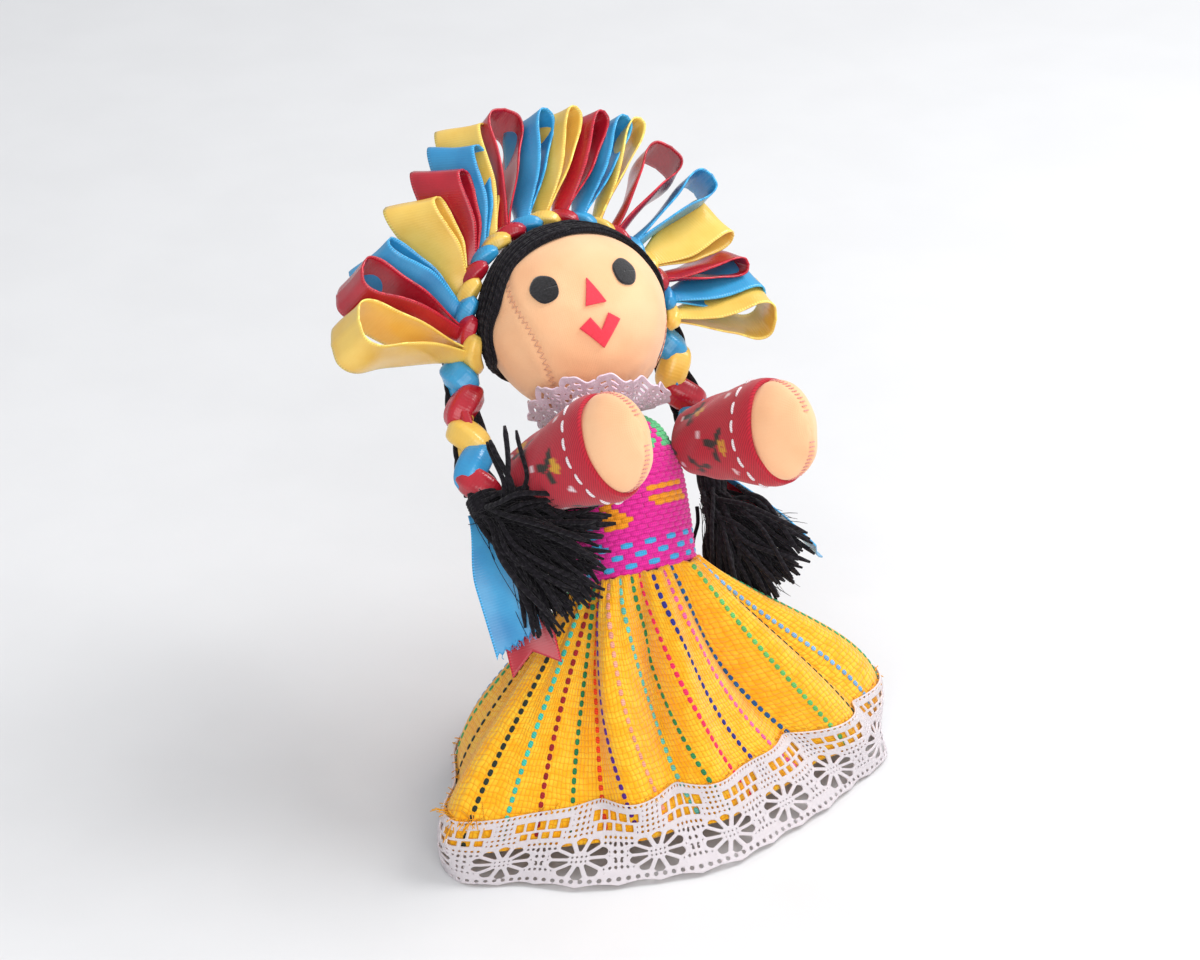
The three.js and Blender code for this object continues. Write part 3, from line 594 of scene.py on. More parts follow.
def lace_net(name, colour, shade, pitch):
    """Machine lace: a fine net of threads."""
    finish = Finish(name, 0.75, Sheen_Weight=0.2, Sheen_Roughness=0.4, Specular_IOR_Level=0.3)
    u, v = finish.cloth()
    a = finish.math("ABSOLUTE", finish.wave(u, pitch))
    b = finish.math("ABSOLUTE", finish.wave(v, pitch))
    net = finish.math("MAXIMUM", finish.between(a, 0.45, 0.95), finish.between(b, 0.6, 0.98))
    fibres = finish.noise(1700.0, 3.0)
    # Painted shade: the small holes of the net are darker, in the shade colour
    finish.colour(finish.blend(finish.between(net, 0.0, 0.7), shade, colour))
    height = finish.math("ADD", net, finish.math("MULTIPLY", fibres, 0.4))
    finish.bump(height, 0.12, 0.7)
    finish.let_light_through(colour, 0.2)
    return finish


# Settings
def length(label, text, default):
    return bpy.props.FloatProperty(name=label, description=text, default=default * MM,
                                   min=0.0, unit="LENGTH", precision=5)


def colour(label, text, default):
    return bpy.props.FloatVectorProperty(name=label, description=text, size=3, subtype="COLOR",
                                         min=0.0, max=1.0, default=linear(default))


class DollSizes(bpy.types.PropertyGroup):
    """Sizes of the dressing."""

    ribbon_width: length("Ribbon width", "Width of the satin ribbon", 10.0)
    ribbon_cloth: length("Ribbon thickness", "Thickness of the satin ribbon", 0.3)
    yarn: length("Yarn", "Thickness of the hair and tassel yarn", 1.0)
    skirt_cloth: length("Skirt cloth", "Thickness of the woven skirt", 0.7)
    stripe_pitch: length("Stripe pitch", "Distance between the skirt's stripes", 6.60)
    stripe_width: length("Stripe width", "Width of one dash of a stripe", 0.9)
    dash: length("Stripe dash", "Length of one dash of a stripe", 1.22)
    dash_gap: length("Stripe gap", "Gap between two dashes of a stripe", 0.57)
    lace_pitch: length("Lace pitch", "Distance between the flowers of the hem lace", 14.7)
    lace_thread: length("Lace thickness", "Thickness of the lace", 0.35)
    stitch: length("Stitch", "Length of a running stitch on a cuff", 2.2)
    patch: length("Felt", "Thickness of the felt eyes, nose and mouth", 0.45)


class DollColours(bpy.types.PropertyGroup):
    """Colours of the dressing."""

    skin: colour("Skin", "Cotton of head and limbs", "FBC799")
    # Skin shade gives random darker patches and also the painted shade between the cotton's threads
    skin_shade: colour("Skin shade", "Darker patches of that cotton", "F4B686")
    yarn: colour("Yarn", "Hair and tassels", "171519")
    red: colour("Red ribbon", "Red satin", "BE1E31")
    blue: colour("Blue ribbon", "Blue satin", "3BA2D6")
    yellow: colour("Yellow ribbon", "Yellow satin", "F6CE66")
    skirt: colour("Skirt", "Woven skirt", "FFB212")
    skirt_light: colour("Skirt light", "Lighter threads of the skirt", "FFC62E")
    # Skirt shade is the painted shade between the threads of the skirt
    skirt_shade: colour("Skirt shade", "Between the threads of the skirt", "F49C08")
    lace: colour("Hem lace", "White lace of the hem", "FFF8FB")
    collar: colour("Collar lace", "Pink lace of the collar", "FFEFFA")
    sleeve: colour("Sleeve", "Printed twill", "C02236")
    bodice: colour("Bodice", "Hand-woven bodice", "F22AA4")
    coral: colour("Coral", "Felt nose and mouth", "F0394C")
    thread: colour("White thread", "Stitches of the cuffs", "F4ECEF")
    floor: colour("Floor", "Plain floor", "E2E2E3")


def sizes(name):
    return getattr(bpy.context.scene.doll_sizes, name) / MM


def colours(name):
    return tuple(getattr(bpy.context.scene.doll_colours, name))


def dress(piece, body, nodes=()):
    """The piece rides on a body and stands for solids, which it hides."""
    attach(piece, body)
    if nodes:
        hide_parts(*nodes)
    return piece


FINISHES = {}


def finish_named(name, maker, *values):
    """A finish is made once and shared by the pieces that have it."""
    if name not in FINISHES:
        FINISHES[name] = maker(name, *values)
    return FINISHES[name]


def skin_finish():
    return finish_named("skin_cotton", padded_cotton, colours("skin"), colours("skin_shade"))


def yarn_finish():
    # 302C33 is the painted sheen on the crests of the plies
    return finish_named("black_yarn", twisted_yarn, colours("yarn"), linear("302C33"), 1.6)


def ribbon_finish(tone):
    shade = {"red": "9C1226", "blue": "2A86BF", "yellow": "EDBB4C"}[tone]
    return finish_named(tone + "_satin", satin, colours(tone), linear(shade))


def stitch_finish():
    return finish_named("stitch_thread", tinted_thread, 0.9)


# Head and face
def head_surface(azimuth, polar, rise=0.0):
    """Point of the head's form in the head's frame. Polar is 0 at the top."""
    grown = HEAD_HALF + rise
    return np.stack([
        grown[0] * np.cos(azimuth) * np.sin(polar),
        grown[1] * np.sin(azimuth) * np.sin(polar),
        grown[2] * np.cos(polar),
    ], -1)


def face_spot(x, z, rise):
    """Point on the front of the head, raised along its normal."""
    x, z = np.asarray(x, float), np.asarray(z, float)
    y = -HEAD_HALF[1] * np.sqrt(1 - (x / HEAD_HALF[0]) ** 2 - (z / HEAD_HALF[2]) ** 2)
    spot = np.stack([x, y, z], -1)
    return spot + unit(spot / HEAD_HALF**2) * np.asarray(rise)[..., None]


LEFT_SEAM_BACK = 6.0
SEAM_STEP, SEAM_SWING, SEAM_THREAD = 0.62, 0.6, 0.11
# Gathers under the head, where the neck draws the cotton in
NECK_GATHERS, NECK_DRAW = 22, 0.35
STUFFING_LUMP, COTTON_LUMP = 9.0, 2.6


def head_seam(side):
    """Line where the face panel is sewn to the back of the head."""
    back = 0.0 if side < 0 else LEFT_SEAM_BACK
    knots = np.array([
        [-12.4, -5.0, 10.6], [-14.4, -7.6, 5.0], [-13.65, -10.0, -1.8],
        [-12.2, -9.2, -8.0], [-10.0, -5.4, -13.4], [-8.0, -3.0, -15.2],
    ]) * [-side, 1, 1] + [0, back, 0]
    line = curve_through(knots, 120)
    share = np.sqrt(((line / HEAD_HALF) ** 2).sum(1, keepdims=True))
    return line / share


def build_head():
    sides, rings = 200, 120
    azimuth = np.linspace(0, TURN, sides + 1)[:-1]
    polar = np.linspace(math.pi - 0.03, 0.03, rings)
    az, po = np.meshgrid(azimuth, polar, indexing="ij")
    points = head_surface(az, po)
    out = unit(points / HEAD_HALF**2)
    seams = np.concatenate([head_seam(-1), head_seam(1)])
    near = np.full(az.shape, 99.0)
    for spot in seams:
        near = np.minimum(near, np.linalg.norm(points - spot, axis=-1))
    swell = 0.12 * hump(near - 1.7, 1.1) - 0.2 * hump(near, 0.6)
    swell += 0.2 * lumps(points, STUFFING_LUMP, 3) + 0.07 * lumps(points, COTTON_LUMP, 4)
    draw = smooth_step(2.35, 3.05, po)
    swell -= draw * NECK_DRAW * (1 + np.cos(NECK_GATHERS * az))
    points = points + out * swell[..., None]
    uv = cloth_grid(np.linspace(0, TURN, sides + 1) * HEAD_HALF[0], -polar * HEAD_HALF[2])
    shape = Shape()
    shape.body(from_head(points), uv)
    head = dress(shape.make("head_padded", skin_finish()), "head",
                 ("face_panel", "head_back_panel", "head_stuffing"))
    build_head_seam()


def build_head_seam():
    """Zigzag stitches over both edges of the face panel."""
    seam = Shape()
    for side in (-1, 1):
        line = head_seam(side)
        run = lengths_along(line)
        count = int(run[-1] / SEAM_STEP)
        spots = at_lengths(line, run, np.linspace(0.4, run[-1] - 0.3, count))
        out = unit(spots / HEAD_HALF**2)
        ahead = unit(np.gradient(spots, axis=0))
        swing = np.cross(out, ahead) * (SEAM_SWING * (-1.0) ** np.arange(count))[:, None]
        zigzag = spots + swing + out * 0.02
        fine = np.concatenate([zigzag[:-1] + (zigzag[1:] - zigzag[:-1]) * f
                               for f in (0, 0.33, 0.67)], 1).reshape(-1, 3)
        seam.tube(from_head(fine), SEAM_THREAD, 5, linear("F6BC98"))
    dress(seam.make("head_zigzag_seam", stitch_finish()), "head")


def felt_patch(name, outer, inner, finish, node):
    """Felt piece between two outlines, laid on the face."""
    steps, thick = 9, sizes("patch")
    f = np.linspace(0, 1, steps)[None, :, None]
    flat = outer[:, None] * (1 - f) + inner[:, None] * f
    rise = np.full(flat.shape[:2], 0.12 + thick / 2)
    shape = Shape()
    points = from_head(face_spot(flat[..., 0], flat[..., 1], rise))
    shape.sheet(points[:, ::-1], flat[:, ::-1], thick)
    return dress(shape.make(name, finish), "head", (node,))


def outline_through(corners, count):
    """Straight-sided outline with evenly spaced points."""
    corners = np.asarray(corners, float)
    run = lengths_along(corners)
    return at_lengths(corners, run, np.linspace(0, run[-1], count))


# The face looks a little to its right. Heights are from the middle of the head
FACE_SIDE = -1.8
EYE_APART, EYE_HEIGHT, EYE_RADIUS = 7.6, 4.0, 2.75
EYE_WIDE = {1: 0.84, -1: 0.79}
NOSE_PLACE, MOUTH_PLACE = [FACE_SIDE, 1.5], [FACE_SIDE, -6]
NOSE_CORNERS = ((-2.0, -2.6), (2.0, -2.6), (-0.3, 2.6), (-2.0, -2.6))
LIPS = np.array([3.9, 2.9])
LIP_LOW = ((-1, 0.45), (0, -1), (1, 0.5))
LIP_HIGH = ((-0.42, 0.95), (0, 0.05), (0.48, 1))
# Share of an outline to which a full felt patch closes
FELT_HUB = 0.002


def build_face():
    black = finish_named("eye_felt", felt, linear("0F0E10"), linear("262428"))
    coral = finish_named("coral_felt", felt, shaded(colours("coral"), 0.92),
                         shaded(colours("coral"), 1.1))
    angle = np.linspace(0, TURN, 49)
    for name, side in (("left_eye", 1), ("right_eye", -1)):
        radius = EYE_RADIUS + 0.06 * np.sin(5 * angle + side)
        ring = np.stack([np.cos(angle), np.sin(angle)], 1) * radius[:, None]
        ring = ring * [EYE_WIDE[side], 0.98]
        middle = np.array([FACE_SIDE + side * EYE_APART, EYE_HEIGHT])
        felt_patch(name + "_felt", ring + middle, ring * FELT_HUB + middle, black, name)
    nose = np.array(NOSE_CORNERS) + NOSE_PLACE
    ring = outline_through(nose, 61)
    hub = nose[:3].mean(0)
    felt_patch("nose_felt", ring, hub + (ring - hub) * FELT_HUB, coral, "nose")
    low, high = (outline_through(np.array(lip) * LIPS + MOUTH_PLACE, 41) for lip in (LIP_LOW, LIP_HIGH))
    felt_patch("mouth_felt", low, high, coral, "mouth")


# Hair: strands combed from the parting to the two plaits
HAIR_AXIS = np.array([0, 0.7071, 0.7071])
HAIR_SIDE = np.array([1.0, 0, 0])
HAIR_LOW = np.array([0, 0.7071, -0.7071])
STRAND_STEPS, STRANDS_FRONT, STRANDS_BACK = 26, 30, 34
# Degrees round the head where strands start, before or behind, and where the plaits take them
PARTING_TURN, EAR_TURN = 90.0, 18.0


def hair_edge(azimuth):
    """Polar angle of the hairline. Azimuth 0 is the left side and -90 the forehead."""
    turn = np.degrees(azimuth)
    from_side = np.where(np.abs(turn) > 90, 180 - np.abs(turn), np.abs(turn)) * np.sign(turn)
    return np.radians(80 + 13 * hump(from_side + 20, 20) + 16 * hump(from_side - 12, 16))


def hair_spot(azimuth, polar, rise):
    way = (np.cos(polar)[..., None] * HAIR_AXIS
           + (np.sin(polar) * np.cos(azimuth))[..., None] * HAIR_SIDE
           + (np.sin(polar) * np.sin(azimuth))[..., None] * HAIR_LOW)
    share = np.sqrt(((way / HEAD_HALF) ** 2).sum(-1, keepdims=True))
    spot = way / share
    return spot + unit(spot / HEAD_HALF**2) * np.asarray(rise)[..., None]


def hair_strand(shape, rng, side, back, start_share):
    """One yarn combed from the parting over the head to the plait."""
    t = np.linspace(0, 1, STRAND_STEPS)
    parting = PARTING_TURN if back else -PARTING_TURN
    turn = parting + (EAR_TURN - parting) * t**0.9
    if side < 0:
        turn = 180 - turn
    turn = np.radians((turn + 180) % 360 - 180)
    held = start_share + (0.98 - start_share) * t**1.6
    held = held + 0.014 * np.sin(t * 9 + rng.random() * 6)
    polar = hair_edge(turn) * held.clip(0, 1.01)
    path = hair_spot(turn, polar, 0.75 + 0.45 * rng.random() + 0.4 * t**3)
    path = path + np.array([strayed(rng, 0.05) for _ in t])
    radius = np.full(STRAND_STEPS, sizes("yarn") * 0.34 * rng.uniform(0.85, 1.2))
    radius[[0, -1]] *= 0.6
    shape.tube(from_head(path), radius, 6)


def build_hair():
    shape = Shape()
    sides, rings = 120, 34
    azimuth = np.linspace(-math.pi, math.pi, sides + 1)[:-1]
    share = np.linspace(0.02, 1.0, rings)
    az, sh = np.meshgrid(azimuth, share, indexing="ij")
    points = hair_spot(az, hair_edge(az) * sh, 0.35 + 0.65 * np.sqrt(1 - sh**6))
    uv = cloth_grid(np.linspace(0, 100, sides + 1), share * 25)
    shape.sheet(from_head(points)[:, ::-1], uv[:, ::-1], 0.5, wrap=True)
    rng = random.Random(11)
    for side in (-1, 1):
        for back, count in ((False, STRANDS_FRONT), (True, STRANDS_BACK)):
            for k in range(count):
                hair_strand(shape, rng, side, back, (k + rng.random()) / count)
    dress(shape.make("hair_yarn", yarn_finish()), "head", ("hair",))


# Crown of ribbon loops
CROWN_LOOPS = (
    # tone, lean, tip back, twist, length, opening, slant of the tip
    ("yellow", 21.8, -16, 74, 27.5, 4.9, 0.0), ("red", 27.8, -10, 68, 25.3, 4.0, 0.0),
    ("blue", 27, -5, 46, 21.5, 2.5, 0.22), ("yellow", 46, -5, 44, 20.9, 2.8, 0.3),
    ("red", 51, -1.5, 46, 22.1, 2.6, 0.33), ("blue", 48.5, 6, 48, 24.4, 2.5, 0.33),
    ("yellow", 39.5, 14, 50, 27.5, 2.5, 0.3), ("red", 36.5, 12, 84, 26, 3.6, 0.0),
    ("blue", 34, 9, 66, 24.5, 2.0, -0.1), ("yellow", 28, 6, 64, 24.4, 2.0, -0.12),
    ("red", 22.5, 6, 64, 23.9, 2.0, -0.15), ("blue", 15, 6, 68, 23.8, 1.9, -0.12),
    ("yellow", 5, 6, 85, 24.6, 1.7, 0.0), ("red", 6.5, 4, 95, 21.9, 3.8, 0.0),
    ("blue", 10, 2, 92, 22.5, 2.7, 0.0), ("yellow", 9.5, 2, 28, 19.7, 2.2, 0.0),
    ("red", 15, 0, 66, 18.8, 1.9, 0.0), ("blue", 6.5, 0, 42, 20.2, 2.2, 0.0),
    ("yellow", 2, -4, 46, 21, 4.0, 0.0),
)
LOOP_SIDE = ((0, 0.12), (0.3, 0.28), (0.62, 0.62), (0.84, 1.0), (0.965, 0.78), (1, 0))
LOOP_STEPS, LOOP_COLUMNS, LOOP_PINCH = 30, 13, 3.4
# Ribbon that each loop takes up in the plait, and the half length and thickness of the fold there
KNOT_RIBBON, KNOT_HALF, KNOT_THICK = 9.0, 3.8, 2.0


def ribbon_bulge(middle, lay, near, half, thick, least, steps):
    """Path and radius of a fold of ribbon that bulges where it crosses a plait."""
    t = np.linspace(-1, 1, steps)
    path = middle + lay * (t * half)[:, None] + near * (1.5 * (1 - t**2) - 0.9)[:, None]
    return path, thick * np.sqrt(1 - np.abs(t * 0.97) ** 3) + least


def folded_strand(shape, path, radius, face, flat, folds, phase):
    """Gathered ribbon along a path, with soft folds round it."""
    sides = 24
    t = np.linspace(-1, 1, len(path))
    along = unit(np.gradient(path, axis=0))
    wide = unit(np.cross(face, along))
    thin = np.cross(along, wide)
    angle = (np.arange(sides) / sides * TURN)[:, None, None]
    ribs = 1 + 0.08 * np.cos(folds * angle + 0.8 * t[None, :, None] + phase)
    ring = wide[None] * np.cos(angle) + thin[None] * np.sin(angle) * flat
    points = path[None] + ring * radius[None, :, None] * ribs
    uv = cloth_grid(np.linspace(-4, 4, sides + 1), lengths_along(path))
    shape.body(points, uv[..., ::-1])


def crown_foot(index):
    turn = math.radians(-CROWN_SPAN + 2 * CROWN_SPAN * index / (len(CROWN_LOOPS) - 1))
    foot = np.array([CROWN_HALF[0] * math.sin(turn), CROWN_BACK, CROWN_HALF[1] * math.cos(turn)])
    return turn, foot


def build_loop(index, tone, lean, tip, twist, long, opening, slant):
    turn, foot = crown_foot(index)
    heading, tip, twist = turn + math.radians(lean), math.radians(tip), math.radians(twist)
    back = np.array([0, 1.0, 0])
    along = np.array([math.sin(heading), 0, math.cos(heading)]) * math.cos(tip)
    along = along + back * math.sin(tip)
    deep = unit(back - along * (back @ along))
    beside = np.cross(deep, along)
    wide = deep * math.sin(twist) - beside * math.cos(twist)
    thin = np.cross(along, wide)
    half = curve_through(LOOP_SIDE, LOOP_STEPS)
    half[:, 0] = half[:, 0].clip(0, 1)
    run = np.concatenate([half, half[-2::-1]])
    sign = np.concatenate([np.ones(LOOP_STEPS), -np.ones(LOOP_STEPS - 1)])
    spread = sign * (run[:, 1] * opening + 0.15 * (1 - run[:, 0]))
    spread[LOOP_STEPS - 1] = 0
    path = foot + along * (run[:, :1] * long) + thin * spread[:, None]
    ribbon = sizes("ribbon_width")
    width = LOOP_PINCH + (ribbon - LOOP_PINCH) * smooth_step(0, 0.55, run[:, 0])
    across = np.linspace(-0.5, 0.5, LOOP_COLUMNS)
    cup = random.Random(40 + index).uniform(0.5, 1.0)
    dip = -cup * (1 - smooth_step(0.25, 0.9, run[:, 0]))[:, None] * (across**2 * 4 - 0.4)
    face = unit(np.cross(np.gradient(path, axis=0), wide))
    wave = 0.22 * np.sin(run[:, 0] * 9 + index)[:, None] * np.sin(across * 5 + index)
    shift = across[None] * width[:, None]
    lean_over = slant * shift * smooth_step(0.2, 0.9, run[:, 0])[:, None]
    points = (path[:, None] + wide * shift[..., None] + along * lean_over[..., None]
              + face[:, None] * (dip + wave)[..., None])
    reach = lengths_along(path)
    uv = cloth_grid(reach, across * ribbon)
    shape = Shape()
    shape.sheet(from_head(points), uv, sizes("ribbon_cloth"))
    build_knot(shape, index)
    number = f"{index + 1:02d}"
    piece = dress(shape.make(f"ribbon_loop_{number}_{tone}", ribbon_finish(tone)), "head",
                  (f"crown_loop_{number}_{tone}",))


def build_knot(shape, index):
    """Crossing of the plait at the foot of a loop: a bulging fold of ribbon."""
    turn, foot = crown_foot(index)
    ring = np.array([math.cos(turn), 0, -math.sin(turn)])
    out = np.array([math.sin(turn), 0, math.cos(turn)])
    sway = unit(ring + np.array([0, -0.95, 0]))
    path, radius = ribbon_bulge(foot + [0, -1.4, 0], sway, out, KNOT_HALF, KNOT_THICK, 0.2, 15)
    folded_strand(shape, from_head(path), radius, HEAD_TURN @ out, 0.8, 5, index)


def build_crown():
    for index, loop in enumerate(CROWN_LOOPS):
        build_loop(index, *loop)


# Plaits, tassels and ribbon tails
BRAIDS = {
    "right": ((-22.3, 9.6, 45.4), (-24.4, 5.6, 36), (-27.4, -0.5, 26), (-28, -3, 20)),
    "left": ((20.2, 9.2, 42.8), (20.6, 9.8, 35), (22.4, 10.8, 26.5), (24, 10, 19.5)),
}
BRAID_STEPS, BRAID_TURNS, BRAID_SIDE, BRAID_DEEP = 60, 0.8, 1.9, 1.5
# Steps at the top of a plait that its inner strands leave bare
BRAID_BARE = 7
TASSEL_TOP = {"right": (-27.9, -4.6, 16.5), "left": (22.8, 9.4, 8.8)}


def braid_strand(path, side, phase):
    t = np.linspace(0, 1, len(path))
    along = unit(np.gradient(path, axis=0))
    across = unit(np.cross(along, unit(np.array([side, -0.25, 0.1]))))
    normal = np.cross(across, along)
    angle = t * BRAID_TURNS * TURN + phase
    line = path + across * (BRAID_SIDE * np.sin(angle))[:, None]
    return line + normal * (BRAID_DEEP * np.sin(2 * angle))[:, None], normal


# Crossings of each plait from the top, in the order in which their colours show
PLAIT_ORDER = {"right": ("blue", "red", "yellow", "blue", "red"),
               "left": ("blue", "yellow", "red", "blue", "yellow")}
# Place of the first crossing, counted in crossings, and how many of them the whole plait would hold
CROSSING_FIRST, CROSSING_COUNT = 0.65, 5.1
# The topmost crossing is shorter, to stay clear of the crown
CROSSING_TOP, CROSSING_TOP_HALF, CROSSING_HALF, CROSSING_THICK = 0.2, 3.6, 4.6, 2.7
# Yarn beside the ribbons: places across the plait
YARN_LANES = (-2.6, -2.2, 2.1, 2.5)
TIE_TURNS, TIE_YARNS = 5, 15


def plait_crossing(shape, path, at, way):
    """Bulging fold of ribbon that crosses a plait."""
    middle = at_lengths(path, np.linspace(0, 1, len(path)), at)
    step = int(at * len(path))
    along = unit(path[min(step + 2, len(path) - 1)] - path[max(step - 2, 0)])
    across = unit(VIEW_RIGHT - along * (VIEW_RIGHT @ along))
    near = np.cross(across, along)
    near = near if near @ VIEW_NEAR > 0 else -near
    lay = unit(along * 0.8 + across * way * 0.6)
    half = CROSSING_TOP_HALF if at < CROSSING_TOP else CROSSING_HALF
    line, radius = ribbon_bulge(middle, lay, near, half, CROSSING_THICK, 0.25, 17)
    folded_strand(shape, from_torso(line), radius, TORSO_TURN @ near, 0.85, 5, at * 9)


def build_plaits():
    t = np.linspace(0, 1, BRAID_STEPS)
    for name, side in (("right", -1), ("left", 1)):
        body = name + "_braid"
        path = curve_through(BRAIDS[name], BRAID_STEPS)
        for number, tone in enumerate(("blue", "red", "yellow")):
            line, normal = braid_strand(path, side, number * TURN / 3)
            line, normal = (line * 0.5 + path * 0.5)[BRAID_BARE:], normal[BRAID_BARE:]
            thin = np.full(len(line), 1.5)
            thin[[0, -1]] *= 0.6
            shape = Shape()
            folded_strand(shape, from_torso(line), thin, normal @ TORSO_TURN.T, 0.8, 6, number)
            for k, shown in enumerate(PLAIT_ORDER[name]):
                if shown == tone:
                    plait_crossing(shape, path, (k + CROSSING_FIRST) / CROSSING_COUNT, (-1) ** k)
            dress(shape.make(f"{name}_plait_{tone}", ribbon_finish(tone)), body,
                  (f"{name}_braid_{tone}",))
        yarn = Shape()
        along = unit(np.gradient(path, axis=0))
        across = unit(VIEW_RIGHT - along * (along @ VIEW_RIGHT)[:, None])
        for number, lane in enumerate(YARN_LANES):
            weave = lane + 0.5 * np.sin(t * 15 + number * 2.1)
            strand = path + across * weave[:, None] - VIEW_NEAR * 0.9
            yarn.tube(from_torso(strand), 0.55, 7)
        tie_yarn(yarn, path[-1], np.array(TASSEL_TOP[name]))
        dress(yarn.make(f"{name}_plait_yarn", yarn_finish()), body, (f"{name}_braid_tie",))


def tie_yarn(shape, end, tip):
    """Turns of yarn that bind the end of a plait, and the yarn from there to its tassel."""
    drop = unit(tip - end)
    wide = unit(np.cross(drop, [0.3, 1, 0.2]))
    other = np.cross(drop, wide)
    angle = np.linspace(0, TURN, 21)[:, None]
    for k in range(TIE_TURNS):
        ring = end + drop * (1.2 + 0.6 * k) + (wide * np.cos(angle) + other * np.sin(angle)) * 2.9
        shape.tube(from_torso(ring), 0.48, 6)
    core = curve_through([end - drop, end + drop * 4.5], 8)
    shape.tube(from_torso(core), 2.6, 12)
    for k in range(TIE_YARNS):
        turn = k * TURN / TIE_YARNS
        aside = wide * math.cos(turn) + other * math.sin(turn)
        knots = [
            end + drop * 2.5 + aside * 1.9,
            (end + tip) / 2 + drop * 2 + aside * 2.3,
            tip + drop * 2 + aside,
        ]
        shape.tube(from_torso(curve_through(knots, 10)), 0.6, 7)


TASSEL_STEPS, TASSEL_CRIMP, FIBRE = 18, 0.38, 0.08


def view_way(turn):
    """Direction in the viewer's plane, from the viewer's right towards down."""
    return VIEW_RIGHT * math.cos(turn) + VIEW_DOWN * math.sin(turn)


def tassel_strand(shape, rng, start, way, reach, near, fall, thick):
    """One yarn that leaves the tie, bulges towards the viewer and wanders to its end."""
    steps = TASSEL_STEPS
    aside = unit(np.cross(way, VIEW_NEAR))
    bend = rng.gauss(0, 0.09) * reach
    end = start + way * reach + VIEW_DOWN * fall
    end = end + VIEW_NEAR * near * rng.uniform(0.1, 0.8) + aside * bend
    middle = start + way * reach * 0.45 + VIEW_NEAR * near - aside * bend * rng.uniform(0.2, 0.8)
    knots = [start, start + way * reach * 0.15 + VIEW_NEAR * near * 0.6, middle, end]
    path = curve_through(knots, steps)
    turn = np.linspace(0, rng.uniform(5, 11), steps) + rng.random() * TURN
    crimp = TASSEL_CRIMP * np.linspace(0.1, 1, steps)
    path = path + aside * (crimp * np.sin(turn))[:, None]
    path = path + VIEW_NEAR * (crimp * np.cos(turn * 0.8))[:, None]
    radius = np.full(steps, thick * rng.uniform(0.85, 1.2))
    radius[-1] *= 0.55
    shape.tube(from_torso(path), radius, 6 if thick > FIBRE else 3)


# Fans of yarn: strands, first and last angle from the viewer's right towards down, lengths
TASSEL_FANS = {"right": (150, -10, 80, 16.0, 20.5), "left": (130, 30, 104, 12.5, 17.5)}
# Fine fibres for each yarn, and the angles of the yarns that stand up from the right tassel
FIBRES_PER_YARN = 2
RAISED_YARNS = (-86, -93, -78, -70)


def build_tassels():
    rng = random.Random(23)
    for name, (count, first, last, short, long) in TASSEL_FANS.items():
        shape = Shape()
        top = np.array(TASSEL_TOP[name], float)
        yarn = sizes("yarn") * 0.46
        for k in range(count * (1 + FIBRES_PER_YARN)):
            turn = math.radians(rng.uniform(first, last))
            fuzz = k >= count
            reach = rng.uniform(short, long) * (rng.uniform(0.6, 1.04) if fuzz else 1)
            reach += 5 * math.sin(max(turn, 0)) ** 2
            start = top + strayed(rng, 1.2)
            near, drop = rng.uniform(-0.5, 6.2), rng.uniform(0, 1.5)
            tassel_strand(shape, rng, start, view_way(turn), reach, near, drop, FIBRE if fuzz else yarn)
        if name == "right":
            for turn in RAISED_YARNS:
                way = view_way(math.radians(turn))
                start = top + VIEW_RIGHT * rng.uniform(2, 6) + VIEW_NEAR * 3
                tassel_strand(shape, rng, start, way, rng.uniform(11, 15), 3.0, 0.0, yarn)
        dress(shape.make(f"{name}_tassel_yarn", yarn_finish()), name + "_braid",
              (f"{name}_tassel",))


TAILS = {
    # name: knots in the torso's frame, width direction, end cut
    "right_tail_blue": (
        ((-28.4, -1.2, 16.6), (-28.6, -4.9, 3), (-28.0, -6.0, -10)), VIEW_RIGHT, "pinked"),
    "right_tail_red": (
        ((-27.2, -2.3, 11.8), (-25.6, -4.0, -2), (-25.2, -4.4, -14)), VIEW_RIGHT, "notch"),
    "left_tail_blue": (((24.8, 10.2, 15.5), (33.4, 8.6, 4), (42, 6, -7.0)), VIEW_NEAR, "slant"),
    "left_tail_red": (((24.6, 11.6, 14.5), (28.4, 13.2, 3), (30.8, 12.2, -7.5)), VIEW_RIGHT, "slant"),
}
TAIL_STEPS, TAIL_COLUMNS, TAIL_FRAYS = 40, 25, 26


def trimmed(cut, across):
    """How much shorter a ribbon's cut end is at each place across it."""
    if cut == "pinked":
        return 1.1 * np.abs(((across * 7) % 1) - 0.5) * 2 + 3.0 * (across + 0.5)
    if cut == "notch":
        return 3.6 * (1 - np.abs(across) * 2)
    return 4.0 * (across + 0.5)


def fray_tail(shape, points, along):
    """Loose threads at the end of a ribbon."""
    rng = random.Random(8)
    for _ in range(TAIL_FRAYS):
        start = points[-2, rng.randrange(1, TAIL_COLUMNS - 1)]
        path = start + along * np.linspace(0, rng.uniform(0.8, 2.0), 5)[:, None]
        path = path + np.array([strayed(rng, 0.12) for _ in range(5)])
        shape.tube(from_torso(path), 0.07, 4)


